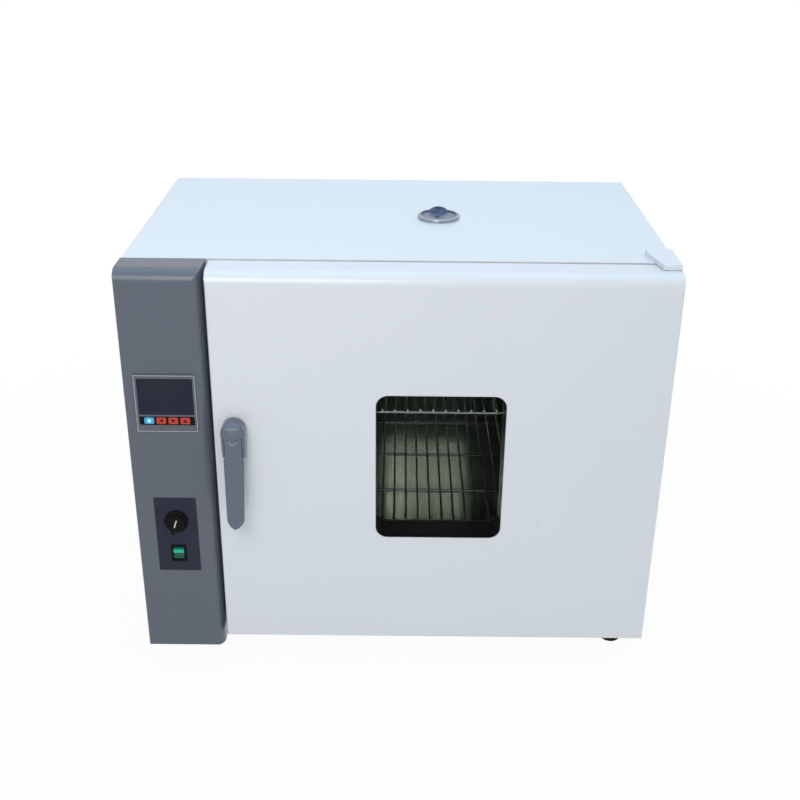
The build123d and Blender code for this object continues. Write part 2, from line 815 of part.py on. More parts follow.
def make_hinge_bushes():
    """Flanged bushes in the door's top and bottom edges."""
    outer = pin_radius + pin_running_gap + bush_wall
    bushes = []
    for edge_z, inward in ((door_z1, -1), (door_z0, 1)):
        inner_z = edge_z + inward * (pin_engagement + running_gap)
        flange_z = edge_z - inward * bush_flange
        body = rod_z(outer, min(edge_z, inner_z), max(edge_z, inner_z), hinge_x, hinge_y)
        body += rod_z(
            outer + bush_flange_reach, min(edge_z, flange_z), max(edge_z, flange_z), hinge_x, hinge_y
        )
        low, high = min(inner_z, flange_z), max(inner_z, flange_z)
        bushes.append(body - rod_z(pin_radius + pin_running_gap, low, high, hinge_x, hinge_y))
    return group(bushes)


# Door
door_radii = (door_top_radius, door_edge_radius, door_edge_radius, door_edge_radius)


def window_block(extra, y0, y1):
    """The window's opening, grown by a margin all round."""
    return rounded_plate(
        window_width + 2 * extra, window_height + 2 * extra, window_radius + extra, door_mid_x, window_z, y0, y1
    )


def hook_drop(reach):
    """How far the hook's lower side comes below the pivot, at a depth behind the door's face."""
    swing = math.radians(handle_swing)
    return (pivot_reach + reach) * math.sin(swing) + hook_half * math.cos(swing) + hook_slot_gap


def hook_slot(y0, y1):
    """Room for the hook through a sheet or through the door, over its whole swing."""
    half = hook_half + hook_side_gap
    high = hook_half + barb_rise + hook_slot_gap
    return block(
        handle_x - half, handle_x + half, y0, y1, pivot_z - hook_drop(y1 - face_y), pivot_z + high
    )


def bush_holes(gap, reach):
    """Room for both hinge bushes."""
    radius = pin_radius + pin_running_gap + bush_wall + gap
    upper = rod_z(radius, door_z1 - reach, door_z1, hinge_x, hinge_y)
    return upper + rod_z(radius, door_z0, door_z0 + reach, hinge_x, hinge_y)


def make_door_skin():
    skin = front_pan(door_x0, door_x1, door_z0, door_z1, door_back_y, 0, *door_radii)
    skin -= front_pan(door_x0, door_x1, door_z0, door_z1, door_back_y + 1, casing_sheet, *door_radii)
    skin -= window_block(0, face_y, face_y + casing_sheet)
    window_edge = [
        edge for edge in skin.edges().group_by(Axis.Y)[0]
        if abs(edge.center().X - door_mid_x) < window_width
        and abs(edge.center().Z - window_z) <= window_height / 2 + fit_gap
    ]
    skin = fillet(window_edge, window_edge_round)
    skin -= hook_slot(face_y, face_y + casing_sheet)
    return skin - bush_holes(0, casing_sheet)


liner_front_y = door_back_y - casing_sheet


def make_door_liner():
    """Inner face of the door, with a drawn collar around the hook's passage."""
    gap = casing_sheet + fit_gap
    width = door_x1 - door_x0 - 2 * gap
    height = door_z1 - door_z0 - 2 * gap
    liner = rounded_plate(width, height, casing_bend, door_mid_x, door_mid_z, liner_front_y, door_back_y)
    liner -= window_block(0, liner_front_y, door_back_y)
    passage = hook_slot(face_y + casing_sheet, door_back_y)
    box = passage.bounding_box()
    collar = block(
        box.min.X - liner_sheet, box.max.X + liner_sheet, face_y + casing_sheet + fit_gap, liner_front_y,
        box.min.Z - liner_sheet, box.max.Z + liner_sheet
    )
    return liner + collar - passage


def make_door_insulation():
    inset = casing_sheet + slab_gap
    y_end = liner_front_y - slab_gap
    pad = front_pan(door_x0, door_x1, door_z0, door_z1, y_end, inset, *door_radii)
    pad -= window_block(glass_lap + slab_gap, face_y, y_end)
    box = hook_slot(face_y + casing_sheet, door_back_y).bounding_box()
    gap = liner_sheet + slab_gap
    pad -= block(
        box.min.X - gap, box.max.X + gap, face_y, y_end, box.min.Z - gap, box.max.Z + gap
    )
    return pad - bush_holes(slab_gap, pin_engagement + 2 * running_gap)


outer_glass_y = face_y + casing_sheet
inner_glass_y = liner_front_y - glass_thickness


def make_window_glass(y0):
    return window_block(glass_lap, y0, y0 + glass_thickness)


def make_window_sleeve():
    """Tunnel wall between the two panes."""
    y0 = outer_glass_y + glass_thickness
    tunnel = window_block(sleeve_wall, y0, inner_glass_y)
    return tunnel - window_block(0, y0, inner_glass_y)


def make_door_seal():
    """Soft ring on the inner face that meets the frame around the mouth."""
    inner = seal_to_mouth
    outer = seal_to_mouth + seal_width
    y1 = frame_y - running_gap
    ring = rounded_plate(
        chamber_width + 2 * outer, chamber_height + 2 * outer, seal_radius, door_mid_x, mouth_mid_z, door_back_y, y1
    )
    ring -= rounded_plate(
        chamber_width + 2 * inner, chamber_height + 2 * inner, seal_radius - seal_width, door_mid_x, mouth_mid_z,
        door_back_y, y1
    )
    return fillet(ring.edges().group_by(Axis.Y)[-1], (y1 - door_back_y) * 0.4)


# Handle
def side_prism(points):
    """The solid of a side view, centred on the handle."""
    wide = 2 * handle_cap_radius + 2
    flat = [(handle_x - wide / 2, face_y - reach, z_base + height) for reach, height in points]
    face = make_face(Polyline(*flat, flat[0]))
    return extrude(face, wide, dir=(1, 0, 0))


def plan_prism(points, z0, z1):
    """The solid of a plan, drawn as (distance from the handle's middle, reach out of the door)."""
    flat = [(handle_x + across, face_y - reach, z0) for across, reach in points]
    face = make_face(Polyline(*flat, flat[0]))
    return extrude(face, z1 - z0, dir=(0, 0, 1))


def front_prism(half_low, z_low, half_high, z_high, round_low, round_high, reach):
    """The solid of the front outline: two straight sides, with a half round at either end if asked."""
    lines = [Line((-half_low, z_low), (-half_high, z_high)), Line((half_high, z_high), (half_low, z_low))]
    if round_high:
        lines.append(ThreePointArc((-half_high, z_high), (0, z_high + half_high), (half_high, z_high)))
    else:
        lines.append(Line((-half_high, z_high), (half_high, z_high)))
    if round_low:
        lines.append(ThreePointArc((half_low, z_low), (0, z_low - half_low), (-half_low, z_low)))
    else:
        lines.append(Line((half_low, z_low), (-half_low, z_low)))
    return facing(make_face(lines), handle_x, z_base, face_y - reach, face_y)


def cheek_end(reach):
    """Height of the slanted lower end of the handle's cheeks at a reach."""
    return handle_foot_height + 0.45 * reach


def hub_room(radius, half):
    """The barrel around the handle's pivot."""
    return rod_x(radius, handle_x - half, handle_x + half, pivot_y, pivot_z)


def make_handle_base():
    """Domed cap with two cheeks that carry the grip's pin."""
    cap_top = handle_cap_height + handle_cap_radius
    body = front_prism(
        handle_foot_half, handle_foot_height, handle_cap_radius, handle_cap_height, False, True, handle_cap_reach
    )
    side = [
        (0, cheek_end(0)), (handle_cap_edge + 4, cheek_end(handle_cap_edge + 4)), (handle_cap_edge + 4, pivot_height),
        (handle_cap_reach, pivot_height + hub_radius / 2), (handle_cap_reach, handle_cap_height - 3),
        (handle_cap_reach * 0.8, cap_top - 7), (handle_cap_reach * 0.42, cap_top), (0, cap_top),
    ]
    body &= side_prism(side)
    roof = [
        (-handle_cap_radius, 0), (-handle_cap_radius, handle_cap_edge), (0, handle_cap_reach),
        (handle_cap_radius, handle_cap_edge), (handle_cap_radius, 0),
    ]
    body &= plan_prism(roof, z_base + handle_foot_height, z_base + cap_top)
    between = hub_half + running_gap
    body -= hub_room(hub_radius + hub_gap, between)
    body -= block(
        handle_x - between, handle_x + between, face_y - handle_cap_reach, face_y,
        z_base + handle_foot_height, pivot_z
    )
    body -= block(
        handle_x - between, handle_x + between, pivot_y, face_y, pivot_z, pivot_z + hub_radius + hub_gap
    )
    return body - rod_x(
        handle_pin_radius + pin_running_gap, handle_x - handle_pin_half - fit_gap,
        handle_x + handle_pin_half + fit_gap, pivot_y, pivot_z
    )


def grip_section(height, half, ridge):
    """One cross-section of the grip: a flat back, two sides and a ridged front."""
    z = z_base + height
    points = [
        (-half, ridge - grip_thickness), (-half, ridge - grip_ridge), (0, ridge),
        (half, ridge - grip_ridge), (half, ridge - grip_thickness),
    ]
    flat = [(handle_x + across, face_y - reach, z) for across, reach in points]
    return make_face(Polyline(*flat, flat[0]))


def make_handle_grip():
    """Ridged grip that hangs from its pivot and stands off the door at its lower end."""
    pivot_ridge = pivot_reach + hub_radius
    blade = loft(
        [
            grip_section(handle_bottom, grip_lower_half, handle_reach),
            grip_section(pivot_height, grip_upper_half, pivot_ridge),
        ],
        ruled=True,
    )
    outline = front_prism(
        grip_lower_half, handle_bottom + grip_lower_half, grip_upper_half, pivot_height, True, False, handle_reach
    )
    blade &= outline
    tip = blade.edges().filter_by(GeomType.LINE, reverse=True)
    blade = fillet(tip, grip_round)
    shoulder = [
        (0, cheek_end(0) - shoulder_gap), (handle_reach, cheek_end(handle_reach) - shoulder_gap),
        (handle_reach, pivot_height), (0, pivot_height),
    ]
    waist = side_prism(shoulder)
    core = block(
        handle_x - hub_half, handle_x + hub_half, face_y - handle_reach, face_y, z_base + handle_bottom, pivot_z
    )
    blade -= waist - core
    roof = [
        (-hub_half, hub_back), (-hub_half, pivot_ridge - grip_ridge * hub_half / grip_upper_half), (0, pivot_ridge),
        (hub_half, pivot_ridge - grip_ridge * hub_half / grip_upper_half), (hub_half, hub_back),
    ]
    hub = hub_room(hub_radius, hub_half) & plan_prism(roof, pivot_z - hub_radius, pivot_z + hub_radius)
    grip = blade + hub
    half = hook_half + fit_gap / 2
    grip -= block(
        handle_x - half, handle_x + half, pivot_y - hook_half * 2, face_y, pivot_z - 2 * hook_half,
        pivot_z + 2 * hook_half
    )
    return grip - rod_x(
        handle_pin_radius + fit_gap / 10, handle_x - hub_half, handle_x + hub_half, pivot_y, pivot_z
    )


def make_latch_hook():
    """Steel hook and pivot pin: an arm through the door with a barb behind the keeper's pin."""
    head = hook_half * 1.9
    x0, x1 = handle_x - hook_half, handle_x + hook_half
    hook = block(x0, x1, pivot_y - head, pivot_y + head, pivot_z - head, pivot_z + head)
    hook += block(x0, x1, pivot_y, face_y + hook_tip, pivot_z - hook_half, pivot_z + hook_half)
    barb_y0 = face_y + hook_tip - barb_length
    hook += block(x0, x1, barb_y0, face_y + hook_tip, pivot_z, pivot_z + hook_half + barb_rise)
    return hook + rod_x(
        handle_pin_radius, handle_x - handle_pin_half, handle_x + handle_pin_half, pivot_y, pivot_z
    )


def keeper_outside():
    """Half width, lowest and highest point and rear face of the keeper's pocket."""
    half = hook_half + hook_side_gap + keeper_wall + fit_gap
    y1 = face_y + hook_tip + keeper_end_gap + keeper_wall
    low = pivot_z - hook_drop(y1 - face_y) - keeper_wall
    high = pivot_z + hook_half + barb_rise + hook_slot_gap + keeper_wall + fit_gap
    return half, low, high, y1


def make_latch_keeper():
    """Pocket behind the frame's slot with the pin that the hook catches."""
    half, low, high, y1 = keeper_outside()
    pocket = block(handle_x - half, handle_x + half, inside_y0, y1, low, high)
    wall = keeper_wall
    pocket -= block(
        handle_x - half + wall, handle_x + half - wall, inside_y0, y1 - wall, low + wall, high - wall
    )
    pin_y = face_y + hook_tip - barb_length - keeper_gap - keeper_pin_radius
    pin_z = pivot_z + hook_half + keeper_gap + keeper_pin_radius
    return pocket + rod_x(keeper_pin_radius, handle_x - half + wall / 2, handle_x + half - wall / 2, pin_y, pin_z)


# Controls
def make_controller_bezel():
    front_y = face_y - bezel_depth
    bezel = rounded_plate(controller_width, controller_tall, bezel_radius, control_x, control_z, front_y, face_y)
    bezel = chamfer(bezel.edges().group_by(Axis.Y)[0], bezel_depth * 0.4)
    for width, tall, z in ((display_width, display_tall, display_z), (display_width, strip_tall, strip_z)):
        bezel -= rounded_plate(
            width + fit_gap, tall + fit_gap, bezel_radius, control_x, z, front_y, face_y
        )
    return bezel


def make_display_lens():
    y0 = face_y - bezel_depth + display_recess
    return rounded_plate(
        display_width, display_tall, bezel_radius, control_x, display_z, y0, y0 + display_sheet
    )


strip_y0 = face_y - bezel_depth + strip_recess


def button_x(number):
    return control_x + (number - (button_count - 1) / 2) * button_pitch


def make_button_strip():
    strip = rounded_plate(
        display_width, strip_tall, bezel_radius, control_x, strip_z, strip_y0, strip_y0 + strip_sheet
    )
    for number in range(button_count):
        strip -= rounded_plate(
            button_width + 2 * button_gap, button_tall + 2 * button_gap, button_radius + button_gap,
            button_x(number), strip_z, strip_y0, strip_y0 + strip_sheet
        )
    return strip


def make_button(number):
    y0 = strip_y0 - button_proud
    key = rounded_plate(
        button_width, button_tall, button_radius, button_x(number), strip_z, y0, y0 + button_depth
    )
    return fillet(key.edges().group_by(Axis.Y)[0], button_proud / 2)


def make_controller_housing():
    """Body of the controller, with a raised seat for the lens and the strip and room behind each key."""
    half = controller_cutout / 2
    housing = block(
        control_x - half, control_x + half, face_y, face_y + controller_depth, control_z - half, control_z + half
    )
    lens_back = face_y - bezel_depth + display_recess + display_sheet
    housing += rounded_plate(
        display_width, display_tall, bezel_radius, control_x, display_z, lens_back, face_y + casing_sheet
    )
    strip_back = strip_y0 + strip_sheet
    housing += rounded_plate(
        display_width, strip_tall, bezel_radius, control_x, strip_z, strip_back, face_y + casing_sheet
    )
    room = strip_y0 - button_proud + button_depth + button_travel + running_gap
    for number in range(button_count):
        housing -= rounded_plate(
            button_width + 2 * button_gap, button_tall + 2 * button_gap, button_radius + button_gap,
            button_x(number), strip_z, strip_back, room
        )
    return housing


def make_switch_plate():
    plate = rounded_plate(
        switch_plate_width, switch_plate_tall, bezel_radius, control_x, plate_z, plate_face_y, face_y
    )
    plate -= rod_y(switch_bush_radius + fit_gap, plate_face_y, face_y, control_x, knob_z)
    half_x = rocker_half_width + rocker_side_gap + casing_sheet + fit_gap
    half_z = rocker_half_tall + rocker_end_gap + casing_sheet + fit_gap
    return plate - block(
        control_x - half_x, control_x + half_x, plate_face_y, face_y, rocker_z - half_z, rocker_z + half_z
    )


def make_rotary_switch():
    """Switch body clamped behind the panel by its threaded bush."""
    y0 = face_y + casing_sheet
    body = rod_y(switch_body_radius, y0, y0 + switch_body_depth, control_x, knob_z)
    body += rod_y(switch_bush_radius, plate_face_y, y0, control_x, knob_z)
    return body - rod_y(
        knob_shaft_radius + pin_running_gap, plate_face_y, plate_face_y + knob_shaft_depth + running_gap,
        control_x, knob_z
    )


def make_switch_knob():
    """Skirted knob with a pointed nose, on its short shaft."""
    back = plate_face_y - running_gap
    front = face_y - knob_reach
    skirt = rod_y(knob_radius, back - knob_skirt, back, control_x, knob_z)
    skirt = chamfer(skirt.edges().sort_by(Axis.Y)[0], knob_skirt * 0.4)
    body = rod_y(knob_body_radius, front, back, control_x, knob_z)
    body = fillet(body.edges().sort_by(Axis.Y)[0], knob_skirt * 0.3)
    side = knob_body_radius * 0.55
    nose_outline = make_face(Polyline((-side, 0), (side, 0), (1.2, knob_nose), (-1.2, knob_nose), (-side, 0)))
    nose = Pos(control_x, 0, knob_z) * Rot(0, knob_rest_angle, 0) * facing(nose_outline, 0, 0, front + 1, back)
    shaft = rod_y(knob_shaft_radius, back, plate_face_y + knob_shaft_depth, control_x, knob_z)
    return skirt + body + nose + shaft


def make_rocker_housing():
    """Bezel and body of the power switch, open at the front for the rocker."""
    open_x = rocker_half_width + rocker_side_gap
    open_z = rocker_half_tall + rocker_end_gap
    front = plate_face_y - rocker_bezel_reach
    housing = rounded_plate(
        rocker_bezel_width, rocker_bezel_tall, bezel_radius, control_x, rocker_z, front, plate_face_y
    )
    housing = chamfer(housing.edges().group_by(Axis.Y)[0], rocker_bezel_reach * 0.3)
    wall = casing_sheet
    housing += block(
        control_x - open_x - wall, control_x + open_x + wall, plate_face_y, face_y + rocker_body_depth,
        rocker_z - open_z - wall, rocker_z + open_z + wall
    )
    housing -= block(
        control_x - open_x, control_x + open_x, front, face_y + rocker_body_depth - wall,
        rocker_z - open_z, rocker_z + open_z
    )
    return housing - rod_x(
        rocker_pin_radius + pin_running_gap, control_x - open_x - wall, control_x + open_x + wall,
        face_y + rocker_pin_depth, rocker_z
    )


def make_rocker_cap():
    """Rocker with a shallow V front, tipped so that its lower end is pressed in."""
    rise = rocker_bezel_reach + switch_plate_sheet
    front_edge = rocker_pin_depth + rise + 1
    points = [
        (front_edge, rocker_half_tall), (front_edge - 2, 0), (front_edge, -rocker_half_tall),
        (-rocker_pin_depth, -rocker_half_tall * 0.6), (-rocker_pin_depth, rocker_half_tall * 0.6),
    ]
    flat = [(-rocker_half_width, -reach, height) for reach, height in points]
    cap = extrude(make_face(Polyline(*flat, flat[0])), 2 * rocker_half_width, dir=(1, 0, 0))
    cap = fillet(cap.edges().group_by(Axis.Y)[0], 0.8)
    cap += rod_x(
        rocker_pin_radius, -rocker_half_width - rocker_side_gap - casing_sheet / 2,
        rocker_half_width + rocker_side_gap + casing_sheet / 2, 0, 0
    )
    return Pos(control_x, face_y + rocker_pin_depth, rocker_z) * Rot(rocker_tilt, 0, 0) * cap


# Back and wiring
gland_z = z_base + gland_height


def make_cable_gland():
    body = rod_y(gland_radius - fit_gap / 2, inside_y1 - gland_radius, rear_y, gland_x, gland_z)
    body += rod_y(gland_flange_radius, inside_y1 - casing_sheet * 2, inside_y1, gland_x, gland_z)
    body += rod_y(gland_flange_radius, rear_y, rear_y + gland_reach / 3, gland_x, gland_z)
    dome = rod_y(gland_radius, rear_y, rear_y + gland_reach, gland_x, gland_z)
    dome = fillet(dome.edges().sort_by(Axis.Y)[-1], gland_radius / 3)
    body += dome
    return body - rod_y(
        cable_radius, inside_y1 - gland_radius, rear_y + gland_reach, gland_x, gland_z
    )


block_y1 = inside_y1 - gland_radius - 3 * pan_lip
block_z0 = gland_z - block_tall / 2


def make_terminal_block():
    """Row of clamps on the partition."""
    x1 = partition_x
    body = block(x1 - block_width, x1, block_y1 - block_depth, block_y1, block_z0, block_z0 + block_tall)
    bays = 4
    bay = block_depth / bays
    for number in range(bays):
        y = block_y1 - (number + 0.5) * bay
        body -= block(
            x1 - block_width, x1 - block_width / 2, y - bay * 0.35, y + bay * 0.35,
            block_z0 + block_tall * 0.7, block_z0 + block_tall
        )
    return body


def make_heater_relay():
    """Finned relay on the partition, above the terminals."""
    x1 = partition_x
    z0 = block_z0 + block_tall + 2 * pan_lip
    relay = block(x1 - relay_width, x1, block_y1 - relay_depth, block_y1, z0, z0 + relay_tall)
    fins = 5
    pitch = relay_depth / fins
    for number in range(fins - 1):
        y = block_y1 - (number + 1) * pitch
        relay -= block(x1 - relay_width, x1 - relay_width / 2, y - pitch / 4, y + pitch / 4, z0, z0 + relay_tall)
    return relay


def wire(points):
    """A round wire along straight runs joined by tangent arcs."""
    radii = []
    for before, here, after in zip(points, points[1:], points[2:]):
        run_in, run_out = Vector(*here) - Vector(*before), Vector(*after) - Vector(*here)
        turn = math.radians(run_in.get_angle(run_out))
        radii.append(0.45 * min(run_in.length, run_out.length) / math.tan(turn / 2))
    path = FilletPolyline(*points, radius=radii)
    start = Plane(origin=points[0], z_dir=Vector(*points[1]) - Vector(*points[0]))
    return sweep(start * Circle(wire_radius), path=path)


def make_wiring_loom():
    """Supply lead from the gland to the terminals, and a lead from the terminals up to the controller."""
    z = block_z0 + block_tall / 2
    port_x = partition_x - block_width
    near_y = block_y1 - 0.3 * block_depth
    far_y = block_y1 - 0.7 * block_depth
    corner = wire_corner
    supply = wire([
        (gland_x, inside_y1 - gland_radius, z), (gland_x, near_y + corner, z), (gland_x + corner, near_y, z),
        (port_x, near_y, z),
    ])
    rise = 2 * corner
    lead_x = port_x - 2 * corner
    feed = wire([
        (port_x, far_y, z), (lead_x + corner, far_y, z), (lead_x, far_y, z + corner),
        (lead_x, far_y, control_z - rise), (lead_x, far_y - rise, control_z),
        (lead_x, face_y + controller_depth, control_z),
    ])
    return group([supply, feed])


def make_cover_screws():
    turn = Rot(0, 0, 180)
    return group([screw(x, rear_y, z, turn) for x, z in cover_screw_places])


parts["outer_shell"] = make_outer_shell()
parts["bottom_pan"] = make_bottom_pan()
parts["back_cover"] = make_back_cover()
parts["front_frame"] = make_front_frame()
parts["control_panel"] = make_control_panel()
parts["partition_wall"] = make_partition_wall()
parts["inner_chamber"] = make_inner_chamber()
parts["insulation_slabs"] = make_insulation_slabs()
parts["duct_plate"] = make_duct_plate()
parts["floor_plate"] = make_floor_plate()
parts["heater_elements"] = make_heater_elements()
parts["temperature_probe"] = make_temperature_probe()
parts["shelf_rack_left"] = make_shelf_rack(mouth_x0, 1)
parts["shelf_rack_right"] = make_shelf_rack(mouth_x1, -1)
parts["wire_shelf_lower"] = make_wire_shelf(lower_shelf_level)
parts["wire_shelf_upper"] = make_wire_shelf(upper_shelf_level)
parts["fan_motor"] = make_fan_motor()
parts["fan_shaft"] = make_fan_shaft()
parts["impeller"] = make_impeller()
parts["vent_ring"] = make_vent_ring()
parts["vent_pipe"] = make_vent_pipe()
parts["vent_dial"] = make_vent_dial()

for side_name, foot_x in (("left", x_left + foot_side_inset), ("right", x_right - foot_side_inset)):
    for end_name, foot_y in (("front", frame_y + foot_front_inset), ("rear", rear_y - foot_back_inset)):
        parts["foot_" + end_name + "_" + side_name] = make_foot(foot_x, foot_y)

parts["hinge_bracket_top"] = make_hinge_bracket_top()
parts["hinge_bracket_bottom"] = make_hinge_bracket_bottom()
parts["hinge_pins"] = make_hinge_pins()
parts["hinge_bushes"] = make_hinge_bushes()
parts["door_skin"] = make_door_skin()
parts["door_liner"] = make_door_liner()
parts["door_insulation"] = make_door_insulation()
parts["window_glass_outer"] = make_window_glass(outer_glass_y)
parts["window_glass_inner"] = make_window_glass(inner_glass_y)
parts["window_sleeve"] = make_window_sleeve()
parts["door_seal"] = make_door_seal()
parts["handle_base"] = make_handle_base()
parts["handle_grip"] = make_handle_grip()
parts["latch_hook"] = make_latch_hook()
parts["latch_keeper"] = make_latch_keeper()
parts["controller_housing"] = make_controller_housing()
parts["controller_bezel"] = make_controller_bezel()
parts["display_lens"] = make_display_lens()
parts["button_strip"] = make_button_strip()
for number in range(button_count):
    parts["button_" + str(number + 1)] = make_button(number)
parts["switch_plate"] = make_switch_plate()
parts["rotary_switch"] = make_rotary_switch()
parts["switch_knob"] = make_switch_knob()
parts["rocker_housing"] = make_rocker_housing()
parts["rocker_cap"] = make_rocker_cap()
parts["cable_gland"] = make_cable_gland()
parts["terminal_block"] = make_terminal_block()
parts["heater_relay"] = make_heater_relay()
parts["wiring_loom"] = make_wiring_loom()
parts["cover_screws"] = make_cover_screws()

os.makedirs("parts", exist_ok=True)
for name, shape in parts.items():
    export_step(shape, "parts/" + name + ".step")
print(len(parts), "nodes")
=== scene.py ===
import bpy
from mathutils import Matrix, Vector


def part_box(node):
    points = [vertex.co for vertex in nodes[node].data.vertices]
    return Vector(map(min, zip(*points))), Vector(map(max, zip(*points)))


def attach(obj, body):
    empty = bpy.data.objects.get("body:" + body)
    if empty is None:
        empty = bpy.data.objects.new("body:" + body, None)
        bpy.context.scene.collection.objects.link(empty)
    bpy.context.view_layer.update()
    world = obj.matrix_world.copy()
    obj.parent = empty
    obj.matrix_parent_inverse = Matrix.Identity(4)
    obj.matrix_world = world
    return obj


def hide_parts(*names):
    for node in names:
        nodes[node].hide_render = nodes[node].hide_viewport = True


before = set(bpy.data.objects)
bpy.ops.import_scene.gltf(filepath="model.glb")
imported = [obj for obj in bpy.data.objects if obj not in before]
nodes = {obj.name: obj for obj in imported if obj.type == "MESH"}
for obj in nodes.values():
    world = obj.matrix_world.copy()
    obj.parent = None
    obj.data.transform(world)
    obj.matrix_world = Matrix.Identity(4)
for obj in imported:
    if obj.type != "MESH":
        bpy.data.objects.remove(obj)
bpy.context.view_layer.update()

import math

import bmesh
import bpy
from mathutils import Matrix, Vector

bl_info = {
    "name": "Drying oven finish",
    "version": (1, 0, 0),
    "blender": (4, 5, 0),
    "location": "View3D > Sidebar > Oven",
    "description": "Paint, glass, shelves, controls and studio for a bench-top drying oven",
    "category": "Object",
}

MM = 0.001
WHITE = (1.0, 1.0, 1.0, 1.0)
BEVEL_ANGLE = math.radians(30.0)


# Shader trees
class Socket:
    """An output of a node tree that takes part in Python arithmetic."""

    def __init__(self, graph, socket):
        self.graph = graph
        self.socket = socket

    def _maths(self, operation, *values):
        return self.graph.node("ShaderNodeMath", {"operation": operation}, dict(enumerate(values)))

    def __add__(self, other):
        return self._maths("ADD", self, other)

    __radd__ = __add__

    def __sub__(self, other):
        return self._maths("SUBTRACT", self, other)

    def __rsub__(self, other):
        return self._maths("SUBTRACT", other, self)

    def __mul__(self, other):
        return self._maths("MULTIPLY", self, other)

    __rmul__ = __mul__

    def __truediv__(self, other):
        return self._maths("DIVIDE", self, other)

    def size(self):
        """Its distance from 0."""
        return self._maths("ABSOLUTE", self)

    def larger(self, other):
        """The larger of two values."""
        return self._maths("MAXIMUM", self, other)

    def smooth(self, low, high):
        """0 at low, 1 at high, eased in between."""
        settings = {"interpolation_type": "SMOOTHSTEP"}
        return self.graph.node("ShaderNodeMapRange", settings, {0: self, 1: low, 2: high, 3: 0.0, 4: 1.0})


class Graph:
    """A material or the world, and the nodes that make it."""

    def __init__(self, name, outlet="ShaderNodeOutputMaterial"):
        self.outlet = outlet
        library = bpy.data.worlds if outlet == "ShaderNodeOutputWorld" else bpy.data.materials
        self.material = library.new(name)
        self.material.use_nodes = True
        self.tree = self.material.node_tree
        self.tree.nodes.clear()

    def node(self, kind, settings=None, inputs=None, output=0):
        """Adds a node, with its settings first and then the values or links of its sockets."""
        made = self.tree.nodes.new(kind)
        for key, value in (settings or {}).items():
            setattr(made, key, value)
        for key, value in (inputs or {}).items():
            if isinstance(value, Socket):
                self.tree.links.new(value.socket, made.inputs[key])
            else:
                made.inputs[key].default_value = value
        return Socket(self, made.outputs[output]) if len(made.outputs) else None

    def place(self):
        """Where a point is in the oven's frame, in metres."""
        return self.node("ShaderNodeTexCoord", output="Object")

    def parts(self, vector):
        """The three numbers of a vector."""
        first = self.node("ShaderNodeSeparateXYZ", None, {0: vector})
        return [Socket(self, out) for out in first.socket.node.outputs]

    def stretched(self, vector, scale):
        """A place scaled by its own amount along each axis."""
        return self.node("ShaderNodeMapping", None, {"Vector": vector, "Scale": scale})

    def noise(self, vector, scale, detail=3.0, roughness=0.5):
        """Smooth random values around a half."""
        inputs = {"Vector": vector, "Scale": scale, "Detail": detail, "Roughness": roughness}
        return self.node("ShaderNodeTexNoise", None, inputs)

    def mix(self, share, first, second):
        """A blend of two colours."""
        settings = {"data_type": "RGBA"}
        return self.node("ShaderNodeMix", settings, {0: share, 6: first, 7: second}, output=2)

    def bump(self, height, strength, distance):
        """A normal bent by a height."""
        inputs = {"Height": height, "Strength": strength, "Distance": distance}
        return self.node("ShaderNodeBump", None, inputs)

    def surface(self, inputs):
        """The one principled shader of a plain material, joined to the output."""
        shader = self.node("ShaderNodeBsdfPrincipled", None, inputs)
        self.finish(shader)
        return self.material

    def looked_at(self):
        """1 for a ray that is seen straight, in a reflection or through glass, 0 for one that lights."""
        kinds = ("Is Camera Ray", "Is Glossy Ray", "Is Transmission Ray")
        seen, gloss, through = [self.node("ShaderNodeLightPath", output=kind) for kind in kinds]
        return seen.larger(gloss).larger(through)

    def finish(self, shader):
        self.node(self.outlet, None, {"Surface": shader})
        return self.material


def rgba(colour):
    return (*colour, 1.0)


def shade(colour, factor):
    return tuple(min(1.0, part * factor) for part in colour)


def powder_coat(name, colour, roughness, peel, peel_size, coat):
    """Baked paint with the faint ripple and the uneven sheen of a sprayed sheet."""
    graph = Graph(name)
    place = graph.place()
    cloud = graph.noise(place, 4.0, 2.0)
    tint = graph.mix(cloud, rgba(shade(colour, 0.985)), rgba(shade(colour, 1.015)))
    ripple = graph.noise(place, 1.0 / peel_size, 2.0)
    grain = graph.noise(place, 5.0 / peel_size, 1.0)
    sheen = (graph.noise(place, 14.0, 4.0) - 0.5) * 0.12 + roughness
    return graph.surface({
        "Base Color": tint,
        "Roughness": sheen,
        "Normal": graph.bump(ripple * 0.8 + grain * 0.2, peel, 0.0002),
        "Coat Weight": coat,
        "Coat Roughness": 0.12,
    })


def rolled_steel(name, colour, roughness, along, depth=0.12):
    """Stainless sheet with the fine lines of its rolling along one axis and a faint stain."""
    graph = Graph(name)
    place = graph.place()
    scale = [1400.0, 1400.0, 1400.0]
    scale["XYZ".index(along)] = 12.0
    lines = graph.noise(graph.stretched(place, scale), 1.0, 3.0)
    stain = graph.noise(place, 9.0, 4.0, 0.6)
    tint = graph.mix(stain, rgba(shade(colour, 0.9)), rgba(shade(colour, 1.06)))
    return graph.surface({
        "Base Color": tint,
        "Metallic": 1.0,
        "Roughness": (lines - 0.5) * 0.16 + (stain - 0.5) * 0.1 + roughness,
        "Normal": graph.bump(lines, depth, 0.0001),
    })


def plated(name, colour, roughness):
    """Bright plating with a few duller patches."""
    graph = Graph(name)
    place = graph.place()
    patches = graph.noise(place, 60.0, 3.0)
    tint = graph.mix(patches, rgba(shade(colour, 0.88)), rgba(colour))
    return graph.surface({
        "Base Color": tint,
        "Metallic": 1.0,
        "Roughness": (patches - 0.5) * 0.12 + roughness,
        "Normal": graph.bump(graph.noise(place, 420.0, 2.0), 0.08, 0.0001),
    })


